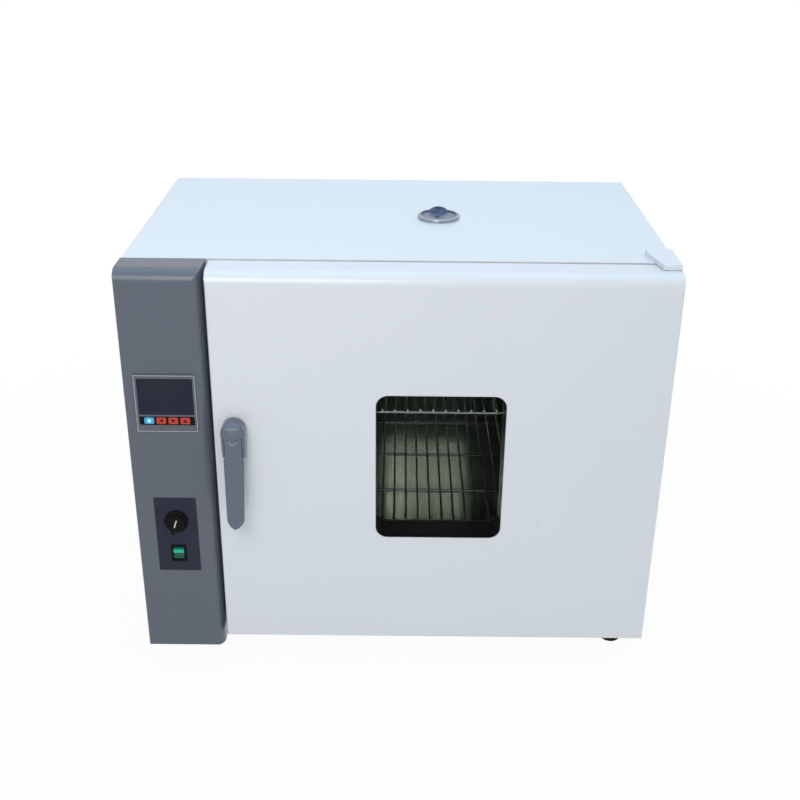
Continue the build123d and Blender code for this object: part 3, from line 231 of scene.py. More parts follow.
def hammered(name, colour, roughness):
    """Dull metal with a mottled, slightly dented face."""
    graph = Graph(name)
    place = graph.place()
    mottle = graph.noise(place, 260.0, 3.0, 0.6)
    tint = graph.mix(mottle.smooth(0.3, 0.7), rgba(shade(colour, 0.55)), rgba(shade(colour, 1.35)))
    return graph.surface({
        "Base Color": tint,
        "Metallic": 0.75,
        "Roughness": (mottle - 0.5) * 0.2 + roughness,
        "Normal": graph.bump(mottle, 0.3, 0.0004),
    })


def moulded(name, colour, roughness, grain_size=0.0006, grain=0.12, gloss=0.2):
    """Moulded plastic or rubber with the fine grain of its tool."""
    graph = Graph(name)
    place = graph.place()
    grains = graph.noise(place, 1.0 / grain_size, 2.0)
    wear = graph.noise(place, 35.0, 4.0)
    tint = graph.mix(wear, rgba(shade(colour, 0.9)), rgba(shade(colour, 1.12)))
    return graph.surface({
        "Base Color": tint,
        "Roughness": (wear - 0.5) * 0.14 + roughness,
        "Normal": graph.bump(grains, grain, 0.0001),
        "Specular IOR Level": gloss,
    })


def glowing(name, colour, glow, strength):
    """A cap lit from behind, a little unevenly."""
    graph = Graph(name)
    place = graph.place()
    cloud = graph.noise(place, 160.0, 2.0)
    light = graph.mix(cloud, rgba(shade(glow, 0.75)), rgba(glow))
    return graph.surface({
        "Base Color": graph.mix(cloud, rgba(shade(colour, 0.85)), rgba(colour)),
        "Roughness": (cloud - 0.5) * 0.1 + 0.28,
        "Emission Color": light,
        "Emission Strength": strength,
        "Normal": graph.bump(graph.noise(place, 900.0, 1.0), 0.05, 0.0001),
    })


def wool(name, colour):
    """Pressed mineral wool: fibres on two scales."""
    graph = Graph(name)
    place = graph.place()
    fibres = graph.noise(graph.stretched(place, (220.0, 220.0, 1400.0)), 1.0, 4.0, 0.7)
    clumps = graph.noise(place, 45.0, 5.0, 0.65)
    tint = graph.mix(fibres, rgba(shade(colour, 0.62)), rgba(shade(colour, 1.1)))
    height = fibres * 0.5 + clumps * 0.5
    return graph.surface({"Base Color": tint, "Roughness": 0.95, "Normal": graph.bump(height, 0.8, 0.002)})


def pane(name, tint):
    """Clear window glass with a faint dark skin that carries its reflection and its smears."""
    graph = Graph(name)
    place = graph.place()
    smear = graph.noise(place, 22.0, 3.0)
    skin = graph.node("ShaderNodeBsdfPrincipled", None, {
        "Base Color": graph.mix(smear, (0.01, 0.012, 0.011, 1.0), (0.025, 0.03, 0.028, 1.0)),
        "Roughness": smear * 0.05 + 0.03,
        "Specular IOR Level": 0.6,
    })
    clear = graph.node("ShaderNodeBsdfTransparent", None, {"Color": rgba(tint)})
    share = smear * 0.015 + 0.012
    return graph.finish(graph.node("ShaderNodeMixShader", None, {0: share, 1: clear, 2: skin}))


# Meshes
def set_material(piece, material):
    piece.data.materials.clear()
    piece.data.materials.append(material)


def dress(material, *names):
    """Gives a material to CAD nodes that stay as they are."""
    for name in names:
        set_material(nodes[name], material)


def add_piece(name, mesh, material, body, slot, *replaced):
    """Makes a mesh a piece of the oven that rides on a body."""
    piece = bpy.data.objects.new(name, mesh)
    bpy.context.scene.collection.objects.link(piece)
    set_material(piece, material)
    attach(piece, body)
    if replaced:
        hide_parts(*replaced)
    return piece


def smoothed(mesh, angle=35.0):
    """Smooth shading that keeps edges sharper than an angle."""
    mesh.shade_smooth()
    mesh.set_sharp_from_angle(angle=math.radians(angle))
    return mesh


def mesh_from(name, bm):
    mesh = bpy.data.meshes.new(name)
    bmesh.ops.recalc_face_normals(bm, faces=bm.faces)
    bm.to_mesh(mesh)
    bm.free()
    return smoothed(mesh)


def bevelled(bm, width, segments=3):
    """Rounds every sharp edge."""
    sharp = [
        edge for edge in bm.edges
        if len(edge.link_faces) == 2 and edge.calc_face_angle(0.0) > BEVEL_ANGLE
    ]
    bmesh.ops.bevel(
        bm, geom=sharp, offset=width, segments=segments, affect="EDGES", profile=0.5, clamp_overlap=True
    )
    return bm


def rounded_copy(node, name, width):
    """The mesh of a CAD node with its corners rounded."""
    bm = bmesh.new()
    bm.from_mesh(nodes[node].data)
    bmesh.ops.remove_doubles(bm, verts=bm.verts, dist=1e-6)
    bmesh.ops.dissolve_limit(bm, angle_limit=math.radians(0.8), verts=bm.verts, edges=bm.edges)
    bevelled(bm, width)
    return mesh_from(name, bm)


def softened_copy(node, name, voxel, passes):
    """The mesh of a CAD node with its edges worn round, as cast metal under thick enamel."""
    source = nodes[node].data.copy()
    bm = bmesh.new()
    bm.from_mesh(source)
    bmesh.ops.remove_doubles(bm, verts=bm.verts, dist=1e-6)
    bm.to_mesh(source)
    bm.free()
    holder = bpy.data.objects.new(name + "_holder", source)
    bpy.context.scene.collection.objects.link(holder)
    remesh = holder.modifiers.new("grain", "REMESH")
    remesh.mode = "VOXEL"
    remesh.voxel_size = voxel
    smooth = holder.modifiers.new("round", "SMOOTH")
    smooth.factor = 0.5
    smooth.iterations = passes
    bpy.context.view_layer.update()
    shown = holder.evaluated_get(bpy.context.evaluated_depsgraph_get())
    mesh = bpy.data.meshes.new_from_object(shown)
    bpy.data.objects.remove(holder)
    bpy.data.meshes.remove(source)
    mesh.name = name
    mesh.shade_smooth()
    return mesh


def lettering(name, text, height, centre, depth=0.05 * MM):
    """Upright characters that face the front, centred on a point of the face they lie on."""
    capital_share = 1 / 1.4
    curve = bpy.data.curves.new(name, "FONT")
    curve.body = text
    curve.size = height / capital_share
    curve.align_x = "CENTER"
    curve.align_y = "CENTER"
    curve.extrude = depth / 2
    helper = bpy.data.objects.new(name + "_text", curve)
    bpy.context.scene.collection.objects.link(helper)
    bpy.context.view_layer.update()
    mesh = bpy.data.meshes.new_from_object(helper.evaluated_get(bpy.context.evaluated_depsgraph_get()))
    bpy.data.objects.remove(helper)
    mesh.transform(Matrix.Rotation(math.pi / 2, 4, "X"))
    low = Vector(min(v.co[axis] for v in mesh.vertices) for axis in range(3))
    high = Vector(max(v.co[axis] for v in mesh.vertices) for axis in range(3))
    middle = Vector(((low.x + high.x) / 2, high.y, (low.z + high.z) / 2))
    mesh.transform(Matrix.Translation(Vector(centre) - middle))
    return mesh


def joined(name, meshes):
    """One mesh from several."""
    bm = bmesh.new()
    for mesh in meshes:
        bm.from_mesh(mesh)
        bpy.data.meshes.remove(mesh)
    mesh = bpy.data.meshes.new(name)
    bm.to_mesh(mesh)
    bm.free()
    return mesh


def bar(bm, low, high):
    """A box between two corners, added to a mesh."""
    size = Vector(high) - Vector(low)
    middle = (Vector(high) + Vector(low)) / 2
    matrix = Matrix.Translation(middle) @ Matrix.Diagonal((*size, 1.0))
    return bmesh.ops.create_cube(bm, size=1.0, matrix=matrix)["verts"]


def flat_shape(bm, outline, y_front, y_back):
    """An upright plate with the outline of (x, z) points."""
    front = [bm.verts.new((x, y_front, z)) for x, z in outline]
    back = [bm.verts.new((x, y_back, z)) for x, z in outline]
    bm.faces.new(front)
    bm.faces.new(list(reversed(back)))
    for number in range(len(outline)):
        after = (number + 1) % len(outline)
        bm.faces.new((front[number], back[number], back[after], front[after]))


def turned(profile, steps, axis_point):
    """A closed body turned from (radius, height) points around an axis that points to the front."""
    bm = bmesh.new()
    rings = []
    for radius, height in profile:
        ring = []
        for step in range(steps):
            angle = 2 * math.pi * step / steps
            offset = Vector((radius * math.cos(angle), -height, radius * math.sin(angle)))
            ring.append(bm.verts.new(Vector(axis_point) + offset))
        rings.append(ring)
    for lower, upper in zip(rings, rings[1:]):
        for step in range(steps):
            after = (step + 1) % steps
            bm.faces.new((lower[step], lower[after], upper[after], upper[step]))
    bm.faces.new(rings[0])
    bm.faces.new(rings[-1])
    bmesh.ops.remove_doubles(bm, verts=bm.verts, dist=1e-7)
    return bm


# Geometry Nodes
class Pattern:
    """A geometry node tree with named inputs, used once on an empty mesh and made plain."""

    def __init__(self, name):
        self.tree = bpy.data.node_groups.new(name, "GeometryNodeTree")
        self.tree.interface.new_socket("Geometry", in_out="OUTPUT", socket_type="NodeSocketGeometry")
        self.inlet = self.tree.nodes.new("NodeGroupInput")
        self.values = {}

    def value(self, name, kind, amount):
        """A named input of the tree."""
        socket = self.tree.interface.new_socket(name, in_out="INPUT", socket_type=kind)
        self.values[socket.identifier] = amount
        return self.inlet.outputs[socket.identifier]

    def node(self, kind, settings=None, inputs=None):
        made = self.tree.nodes.new(kind)
        for key, value in (settings or {}).items():
            setattr(made, key, value)
        for key, value in (inputs or {}).items():
            if isinstance(value, bpy.types.NodeSocket):
                self.tree.links.new(value, made.inputs[key])
            else:
                made.inputs[key].default_value = value
        return made.outputs[0]

    def vector(self, x=0.0, y=0.0, z=0.0):
        return self.node("ShaderNodeCombineXYZ", None, {0: x, 1: y, 2: z})

    def tube(self, start, end, radius, sides):
        """A round bar from one point to another."""
        line = self.node("GeometryNodeCurvePrimitiveLine", None, {"Start": start, "End": end})
        ring = self.node("GeometryNodeCurvePrimitiveCircle", None, {"Resolution": sides, "Radius": radius})
        inputs = {"Curve": line, "Profile Curve": ring, "Fill Caps": True}
        return self.node("GeometryNodeCurveToMesh", None, inputs)

    def row(self, count, start, step, copied):
        """Copies of a geometry at equal steps."""
        inputs = {"Count": count, "Start Location": start, "Offset": step}
        line = self.node("GeometryNodeMeshLine", None, inputs)
        return self.node("GeometryNodeInstanceOnPoints", None, {"Points": line, "Instance": copied})

    def join(self, *parts):
        made = self.tree.nodes.new("GeometryNodeJoinGeometry")
        for part in parts:
            self.tree.links.new(part, made.inputs[0])
        return made.outputs[0]

    def plain_mesh(self, name, geometry, material):
        """Runs the tree and gives its result as a plain mesh."""
        real = self.node("GeometryNodeRealizeInstances", None, {0: geometry})
        smooth = self.node("GeometryNodeSetShadeSmooth", None, {0: real})
        finished = self.node("GeometryNodeSetMaterial", None, {"Geometry": smooth, "Material": material})
        outlet = self.tree.nodes.new("NodeGroupOutput")
        self.tree.links.new(finished, outlet.inputs[0])
        holder = bpy.data.objects.new(name + "_holder", bpy.data.meshes.new(name + "_empty"))
        bpy.context.scene.collection.objects.link(holder)
        modifier = holder.modifiers.new(name, "NODES")
        modifier.node_group = self.tree
        for identifier, amount in self.values.items():
            modifier[identifier] = amount
        bpy.context.view_layer.update()
        shown = holder.evaluated_get(bpy.context.evaluated_depsgraph_get())
        mesh = bpy.data.meshes.new_from_object(shown)
        holder.modifiers.remove(modifier)
        bpy.data.objects.remove(holder)
        mesh.name = name
        return smoothed(mesh, 50.0)


# Settings
def colour_setting(name, description, default):
    return bpy.props.FloatVectorProperty(
        name=name, description=description, default=default, size=3, min=0.0, max=1.0, subtype="COLOR"
    )


def length_setting(name, description, default):
    return bpy.props.FloatProperty(
        name=name, description=description, default=default, min=0.0, unit="LENGTH"
    )


def amount_setting(name, description, default):
    return bpy.props.FloatProperty(name=name, description=description, default=default, min=0.0)


class OvenPaint(bpy.types.PropertyGroup):
    """Colours and texture of the painted sheets"""

    case: colour_setting("Cabinet", "Colour of the cabinet's powder coat", (0.84, 0.86, 0.88))
    door: colour_setting("Door", "Colour of the door's powder coat", (0.82, 0.83, 0.85))
    panel: colour_setting("Control panel", "Colour of the control panel", (0.104, 0.121, 0.151))
    handle: colour_setting("Handle", "Colour of the handle", (0.105, 0.125, 0.172))
    peel: amount_setting("Ripple", "Strength of the ripple in the paint", 0.1)
    peel_size: length_setting("Ripple size", "Width of one ripple", 1.8 * MM)


class OvenShelf(bpy.types.PropertyGroup):
    """Sizes of the wire shelves"""

    rod: length_setting("Rod radius", "Radius of the rods across the shelf", 2.5 * MM)
    wire: length_setting("Wire radius", "Radius of the wires from front to back", 1.5 * MM)
    bead: length_setting("Bead radius", "Radius of the beads at the ends of the wires", 1.9 * MM)
    pitch: length_setting("Wire pitch", "Distance from wire to wire", 17.5 * MM)
    metal: colour_setting("Metal", "Colour of the plating", (0.3, 0.31, 0.32))


class OvenControls(bpy.types.PropertyGroup):
    """Colours of the controller and the switches"""

    lens: colour_setting("Display", "Colour of the display's window", (0.017, 0.019, 0.042))
    frame_grey: colour_setting("Controller frame", "Colour of the controller's frame", (0.135, 0.142, 0.158))
    plate: colour_setting("Switch plate", "Colour of the plate behind knob and rocker", (0.022, 0.024, 0.043))
    print_dark: colour_setting("Print", "Colour of the marks on the switch plate", (0.004, 0.005, 0.009))
    blue: colour_setting("Lit key", "Colour of the lit key", (0.03, 0.3, 0.5))
    red: colour_setting("Dark keys", "Colour of the other keys", (0.62, 0.055, 0.035))
    green: colour_setting("Rocker", "Colour of the rocker", (0.01, 0.35, 0.22))


class OvenStudio(bpy.types.PropertyGroup):
    """Camera and light"""

    lens: bpy.props.FloatProperty(name="Lens", description="Focal length", default=50.552, unit="CAMERA")
    world: amount_setting("Sky", "Strength of the light from all round", 0.54)
    overhead: bpy.props.FloatProperty(name="Overhead", description="Lamp above", default=21.5, unit="POWER")
    key: bpy.props.FloatProperty(name="Key", description="Lamp at the front left", default=9.5, unit="POWER")


class OvenSettings(bpy.types.PropertyGroup):
    """All settings of the oven's finish"""

    paint: bpy.props.PointerProperty(type=OvenPaint)
    shelf: bpy.props.PointerProperty(type=OvenShelf)
    controls: bpy.props.PointerProperty(type=OvenControls)
    studio: bpy.props.PointerProperty(type=OvenStudio)


def settings():
    return bpy.context.scene.oven_finish


# Pieces
class OVEN_OT_cabinet(bpy.types.Operator):
    """Paints the cabinet, its feet and hinge brackets"""

    bl_idname = "oven.cabinet"
    bl_label = "Cabinet"

    def execute(self, context):
        paint = settings().paint
        white = powder_coat("white_powder_coat", paint.case, 0.34, paint.peel, paint.peel_size, 0.15)
        grey = powder_coat("grey_powder_coat", paint.panel, 0.36, paint.peel * 1.5, paint.peel_size, 0.2)
        dress(white, "outer_shell", "bottom_pan", "back_cover", "front_frame")
        dress(white, "hinge_bracket_top", "hinge_bracket_bottom")
        dress(grey, "control_panel")
        rubber = moulded("foot_rubber", (0.005, 0.005, 0.005), 0.7, 0.001, 0.3, 0.1)
        dress(rubber, "foot_front_left", "foot_front_right", "foot_rear_left", "foot_rear_right")
        steel = rolled_steel("pin_steel", (0.5, 0.5, 0.5), 0.25, "Z")
        dress(steel, "hinge_pins", "latch_keeper", "cover_screws", "partition_wall")
        return {"FINISHED"}


class OVEN_OT_door(bpy.types.Operator):
    """Finishes the door, its seal and its bushes"""

    bl_idname = "oven.door"
    bl_label = "Door"

    def execute(self, context):
        paint = settings().paint
        white = powder_coat("door_powder_coat", paint.door, 0.3, paint.peel, paint.peel_size, 0.25)
        dress(white, "door_skin")
        dress(rolled_steel("door_liner_steel", (0.58, 0.58, 0.56), 0.32, "X"), "door_liner")
        dress(moulded("seal_rubber", (0.32, 0.03, 0.02), 0.6, 0.0015, 0.2), "door_seal")
        dress(moulded("bush_plastic", (0.65, 0.65, 0.6), 0.5), "hinge_bushes")
        dress(wool("mineral_wool", (0.5, 0.45, 0.24)), "door_insulation", "insulation_slabs")
        return {"FINISHED"}


class OVEN_OT_window(bpy.types.Operator):
    """Glazes the window"""

    bl_idname = "oven.window"
    bl_label = "Window"

    def execute(self, context):
        dress(pane("window_pane", (0.955, 0.965, 0.955)), "window_glass_outer", "window_glass_inner")
        dress(powder_coat("black_enamel", (0.006, 0.006, 0.007), 0.3, 0.1, 0.002, 0.2), "window_sleeve")
        return {"FINISHED"}


class OVEN_OT_handle(bpy.types.Operator):
    """Rounds and paints the handle, and finishes its hook"""

    bl_idname = "oven.handle"
    bl_label = "Handle"

    def execute(self, context):
        paint = settings().paint
        grey = powder_coat("handle_enamel", paint.handle, 0.26, 0.08, 0.0012, 0.35)
        base = softened_copy("handle_base", "handle_base_round", 0.7 * MM, 14)
        add_piece("handle_base_round", base, grey, "door", "handle_grey", "handle_base")
        grip = softened_copy("handle_grip", "handle_grip_round", 0.8 * MM, 8)
        add_piece("handle_grip_round", grip, grey, "handle", "handle_grey", "handle_grip")
        dress(rolled_steel("hook_steel", (0.45, 0.45, 0.46), 0.22, "Y"), "latch_hook")
        return {"FINISHED"}


class OVEN_OT_chamber(bpy.types.Operator):
    """Finishes the chamber, its ducts, heater and fan"""

    bl_idname = "oven.chamber"
    bl_label = "Chamber"

    def execute(self, context):
        # painted reflection: the chamber steel is tinted greenish-yellow to give the colour of the lit
        # reflection on its walls
        steel = rolled_steel("chamber_steel", (0.5, 0.53, 0.47), 0.12, "X")
        dress(steel, "inner_chamber", "floor_plate", "vent_pipe", "temperature_probe")
        dress(rolled_steel("rack_steel", (0.46, 0.46, 0.4), 0.28, "Y"), "duct_plate")
        dress(rolled_steel("ledge_steel", (0.5, 0.5, 0.48), 0.25, "Y"), "shelf_rack_left", "shelf_rack_right")
        dress(rolled_steel("heater_tube", (0.2, 0.16, 0.12), 0.45, "X", 0.3), "heater_elements")
        dress(rolled_steel("fan_alloy", (0.6, 0.6, 0.61), 0.3, "X"), "impeller", "fan_shaft")
        dress(powder_coat("motor_enamel", (0.02, 0.02, 0.022), 0.4, 0.2, 0.002, 0.1), "fan_motor")
        return {"FINISHED"}


class OVEN_OT_shelves(bpy.types.Operator):
    """Makes the two wire shelves"""

    bl_idname = "oven.shelves"
    bl_label = "Wire shelves"

    def execute(self, context):
        shelf = settings().shelf
        chrome = plated("shelf_plating", shelf.metal, 0.18)
        # painted highlight: the beads get a far brighter plating than the wires, though they are the same
        # metal, so that they show as glints
        glint_plating = plated("bead_glint_plating", (0.95, 0.95, 0.95), 0.12)
        for node in ("wire_shelf_lower", "wire_shelf_upper"):
            low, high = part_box(node)
            mesh = wire_shelf(node + "_wires", low, high, shelf, chrome)
            add_piece(node + "_wires", mesh, chrome, "cabinet", "shelf_chrome", node)
            beads = shelf_beads(node + "_beads", low, high, shelf, glint_plating)
            add_piece(node + "_beads", beads, glint_plating, "cabinet", "shelf_chrome")
        return {"FINISHED"}


def wire_spaces(low, high, shelf):
    """How many spaces there are between the wires, and where the first wire is."""
    spaces = int((high.x - low.x - 2 * shelf.wire) // shelf.pitch)
    return spaces, (low.x + high.x - spaces * shelf.pitch) / 2


def wire_shelf(name, low, high, shelf, metal):
    """Rods across with wires welded over them."""
    depth = high.y - low.y
    pattern = Pattern(name)
    rod = pattern.value("Rod radius", "NodeSocketFloat", shelf.rod)
    wire = pattern.value("Wire radius", "NodeSocketFloat", shelf.wire)
    pitch = pattern.value("Wire pitch", "NodeSocketFloat", shelf.pitch)
    spaces, first_x = wire_spaces(low, high, shelf)
    count = pattern.value("Wires", "NodeSocketInt", spaces + 1)
    rod_count = 4
    rods = pattern.value("Rods", "NodeSocketInt", rod_count)
    rod_y = low.y + shelf.rod
    rod_z = low.z + shelf.rod
    across = pattern.tube((low.x, rod_y, rod_z), (high.x, rod_y, rod_z), rod, 20)
    step = pattern.vector(y=(depth - 2 * shelf.rod) / (rod_count - 1))
    cross_rods = pattern.row(rods, (0.0, 0.0, 0.0), step, across)
    wire_z = high.z - shelf.wire
    front, back = low.y + shelf.wire, high.y - shelf.wire
    along = pattern.tube((first_x, front, wire_z), (first_x, back, wire_z), wire, 12)
    wires = pattern.row(count, (0.0, 0.0, 0.0), pattern.vector(x=pitch), along)
    return pattern.plain_mesh(name, pattern.join(cross_rods, wires), metal)


def shelf_beads(name, low, high, shelf, metal):
    """The melted ends of the wires along the front of a shelf."""
    pattern = Pattern(name)
    size = pattern.value("Bead radius", "NodeSocketFloat", shelf.bead)
    spaces, first_x = wire_spaces(low, high, shelf)
    count = pattern.value("Beads", "NodeSocketInt", spaces + 1)
    ball = pattern.node("GeometryNodeMeshUVSphere", None, {"Segments": 16, "Rings": 10, "Radius": size})
    start = (first_x, low.y + shelf.bead, high.z - shelf.bead)
    beads = pattern.row(count, start, pattern.vector(x=shelf.pitch), ball)
    return pattern.plain_mesh(name, beads, metal)


class OVEN_OT_controller(bpy.types.Operator):
    """Finishes the temperature controller and marks its keys"""

    bl_idname = "oven.controller"
    bl_label = "Controller"

    def execute(self, context):
        controls = settings().controls
        black = moulded("black_plastic", (0.004, 0.004, 0.005), 0.45, 0.0006, 0.12, 0.1)
        dress(black, "controller_housing", "rotary_switch", "rocker_housing", "cable_gland", "terminal_block")
        dress(moulded("bezel_plastic", controls.frame_grey, 0.35, 0.0004, 0.08), "controller_bezel")
        dress(display_window("display_window", controls.lens), "display_lens")
        dress(moulded("strip_plastic", (0.003, 0.003, 0.004), 0.25, 0.0004, 0.04, 0.12), "button_strip")
        lit = glowing("lit_key", controls.blue, controls.blue, 0.55)
        unlit = moulded("red_key", controls.red, 0.3, 0.0004, 0.05, 0.3)
        icon = moulded("key_print", (0.01, 0.008, 0.01), 0.35)
        pale = glowing("lit_mark", (0.5, 0.75, 0.9), (0.6, 0.85, 1.0), 0.35)
        dress(lit, "button_1")
        dress(unlit, "button_2", "button_3", "button_4")
        for number in range(4):
            node = "button_" + str(number + 1)
            mesh = key_mark(node + "_mark", node, number)
            body = ("button_set", "button_shift", "button_down", "button_up")[number]
            add_piece(node + "_mark", mesh, pale if number == 0 else icon, body, "strip_black")
        lip = moulded("lip_plastic", (0.42, 0.42, 0.45), 0.3, 0.0004, 0.05, 0.5)
        add_piece("bezel_lip", bezel_lip("bezel_lip"), lip, "cabinet", "bezel_grey")
        lamps = moulded("indicator_lamp", (0.09, 0.008, 0.008), 0.3)
        add_piece("indicator_lamps", indicator_lamps("indicator_lamps"), lamps, "cabinet", "button_red")
        return {"FINISHED"}


def display_window(name, colour):
    """Smoked window with the faint shapes of its unlit figures."""
    graph = Graph(name)
    place = graph.place()
    low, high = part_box("display_lens")
    x, y, z = graph.parts(place)
    tint = rgba(colour)
    reach, edge = 28 * MM, 0.4 * MM
    across = (x - (low.x + high.x) / 2).size()
    between = 1 - across.smooth(reach - edge, reach)
    rows = ((13 * MM, 9 * MM, 0.022), (33 * MM, 7 * MM, 0.02))
    for below_top, half_height, level in rows:
        off_row = (z - (high.z - below_top)).size()
        band = 1 - off_row.smooth(half_height * 0.98, half_height * 1.02)
        tint = graph.mix(band * between * 0.6, tint, (level, level * 1.1, level * 1.6, 1.0))
    cloud = graph.noise(place, 40.0, 3.0)
    return graph.surface({
        "Base Color": tint,
        "Roughness": (cloud - 0.5) * 0.06 + 0.16,
        "Specular IOR Level": 0.15,
        "Normal": graph.bump(graph.noise(place, 300.0, 1.0), 0.03, 0.0001),
    })


def key_mark(name, node, number):
    """The raised mark of one key: a dot ring, a left arrow, a down arrow or an up arrow."""
    low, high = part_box(node)
    middle = (low + high) / 2
    front = low.y - 0.05 * MM
    back = low.y + 0.25 * MM
    bm = bmesh.new()
    if number == 0:
        dot, core, rise = 2.6 * MM, 1.1 * MM, 0.06 * MM
        steps = 20
        for radius, face in ((dot, front), (core, front - rise)):
            ring = [
                (middle.x + radius * math.cos(2 * math.pi * step / steps),
                 middle.z + radius * math.sin(2 * math.pi * step / steps))
                for step in range(steps)
            ]
            flat_shape(bm, ring, face, back)
    else:
        size = 2.9 * MM
        turn = {1: math.pi / 2, 2: math.pi, 3: 0.0}[number]
        arrow = [(0.0, 1.0), (-1.05, -0.75), (1.05, -0.75)]
        outline = [
            (middle.x + size * (px * math.cos(turn) - pz * math.sin(turn)),
             middle.z + size * (px * math.sin(turn) + pz * math.cos(turn)))
            for px, pz in arrow
        ]
        flat_shape(bm, outline, front, back)
    return mesh_from(name, bm)


def bezel_lip(name):
    """The raised rim round the controller's frame."""
    low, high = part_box("controller_bezel")
    wide, rise = 1.1 * MM, 0.35 * MM
    bm = bmesh.new()
    outer = [(low.x, low.z), (high.x, low.z), (high.x, high.z), (low.x, high.z)]
    inner = [
        (low.x + wide, low.z + wide), (high.x - wide, low.z + wide),
        (high.x - wide, high.z - wide), (low.x + wide, high.z - wide),
    ]
    levels = [(outer, low.y), (outer, low.y - rise), (inner, low.y - rise), (inner, low.y)]
    rings = [[bm.verts.new((x, y, z)) for x, z in line] for line, y in levels]
    for number, ring in enumerate(rings):
        following = rings[(number + 1) % len(rings)]
        for corner in range(4):
            after = (corner + 1) % 4
            bm.faces.new((ring[corner], ring[after], following[after], following[corner]))
    bevelled(bm, 0.12 * MM, 2)
    return mesh_from(name, bm)


def indicator_lamps(name):
    """A row of small unlit lamps in the display, above the keys."""
    low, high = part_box("display_lens")
    front, back = low.y - 0.08 * MM, low.y + 0.1 * MM
    foot, head = low.z + 2.2 * MM, low.z + 3.6 * MM
    half = 1.5 * MM
    bm = bmesh.new()
    for number in range(4):
        key_low, key_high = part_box("button_" + str(number + 1))
        x = (key_low.x + key_high.x) / 2
        bar(bm, (x - half, front, foot), (x + half, back, head))
    bevelled(bm, 0.07 * MM, 2)
    return mesh_from(name, bm)


class OVEN_OT_switches(bpy.types.Operator):
    """Finishes the switch plate, its knob and the rocker"""

    bl_idname = "oven.switches"
    bl_label = "Switches"

    def execute(self, context):
        controls = settings().controls
        dress(moulded("plate_film", controls.plate, 0.4, 0.0008, 0.1, 0.2), "switch_plate")
        black = moulded("knob_plastic", (0.003, 0.003, 0.004), 0.4, 0.0005, 0.1, 0.1)
        add_piece("mode_knob", mode_knob("mode_knob"), black, "knob", "knob_black", "switch_knob")
        white = moulded("pointer_paint", (0.85, 0.85, 0.83), 0.4)
        add_piece("knob_pointer", knob_pointer("knob_pointer"), white, "knob", "knob_black")
        dark = moulded("plate_print", controls.print_dark, 0.35)
        add_piece("dial_numbers", dial_numbers("dial_numbers"), dark, "cabinet", "plate_dark")
        cap = rounded_copy("rocker_cap", "rocker_cap_round", 0.3 * MM)
        green = rocker_plastic("rocker_plastic", controls.green)
        add_piece("rocker_cap_round", cap, green, "rocker", "rocker_green", "rocker_cap")
        return {"FINISHED"}


def rocker_plastic(name, colour):
    """Clear green cap with painted light: its upper third is painted bright as a highlight and its lower part
    painted dark as shade, with fine ribs inside it, and the whole cap is given a faint painted glow.
    """
    graph = Graph(name)
    x, y, z = graph.parts(graph.place())
    low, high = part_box("rocker_cap")
    # painted highlight: above this height the cap is made bright where light catches its tilted face
    edge = low.z + (high.z - low.z) * 0.64
    upper = z.smooth(edge - 0.3 * MM, edge + 0.3 * MM)
    ribs = graph.node("ShaderNodeMath", {"operation": "SINE"}, {0: x * (2 * math.pi / (1.4 * MM))})
    ribs = ribs.smooth(-0.4, 0.6)
    # painted shade: the lower part is made dark, with the cap's real ribs in it
    dark = graph.mix(ribs, rgba(shade(colour, 0.1)), rgba(shade(colour, 0.34)))
    tint = graph.mix(upper, dark, rgba(shade(colour, 1.15)))
    return graph.surface({
        "Base Color": tint,
        "Roughness": (graph.noise(graph.place(), 200.0) - 0.5) * 0.08 + 0.2,
        "Specular IOR Level": 0.3,
        # painted glow: the cap gives off its own colour as light, though it is no lamp
        "Emission Color": tint,
        "Emission Strength": 0.25,
    })


KNOB_REST = math.radians(-162.0)
KNOB_FRONT = 8.2 * MM


def knob_place():
    """Axis point of the mode knob on the face of its plate."""
    low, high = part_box("rotary_switch")
    return Vector(((low.x + high.x) / 2, low.y, (low.z + high.z) / 2))


def knob_outline(points):
    """Points of the knob's face, drawn with the knob upright, as they are when it is turned to its rest."""
    centre = knob_place()
    cosine, sine = math.cos(KNOB_REST), math.sin(KNOB_REST)
    return [(centre.x + x * cosine + z * sine, centre.z - x * sine + z * cosine) for x, z in points]


def mode_knob(name):
    """Round skirt, narrower body and a pointed tail."""
    centre = knob_place()
    back = 0.3 * MM
    skirt, body = 16.6 * MM, 12.9 * MM
    profile = [
        (0.0, back),
        (skirt - 0.4 * MM, back),
        (skirt, back + 0.4 * MM),
        (skirt, 2.6 * MM),
        (skirt - 1.0 * MM, 3.8 * MM),
        (body + 0.7 * MM, 4.1 * MM),
        (body + 0.4 * MM, 4.6 * MM),
        (body, KNOB_FRONT - 1.4 * MM),
        (body - 0.7 * MM, KNOB_FRONT - 0.4 * MM),
        (body - 1.9 * MM, KNOB_FRONT),
        (7.0 * MM, KNOB_FRONT - 0.2 * MM),
        (0.0, KNOB_FRONT - 0.35 * MM),
    ]
    round_part = turned(profile, 96, centre)
    root, tip, length = 7.2 * MM, 1.6 * MM, 18.5 * MM
    outline = [(-root, 0.0), (root, 0.0), (tip, length - 0.5 * MM), (0.0, length), (-tip, length - 0.5 * MM)]
    tail = bmesh.new()
    flat_shape(tail, knob_outline(outline), centre.y - KNOB_FRONT + 0.9 * MM, centre.y - back)
    bevelled(tail, 0.7 * MM, 3)
    meshes = [mesh_from(name + "_body", round_part), mesh_from(name + "_tail", tail)]
    return smoothed(joined(name, meshes))


def knob_pointer(name):
    """The white line across the knob's face."""
    centre = knob_place()
    bm = bmesh.new()
    half, foot, head = 0.75 * MM, -6.0 * MM, 6.2 * MM
    outline = knob_outline([(-half, foot), (half, foot), (half, head), (-half, head)])
    flat_shape(bm, outline, centre.y - KNOB_FRONT - 0.1 * MM, centre.y - KNOB_FRONT + 1.2 * MM)
    return mesh_from(name, bm)


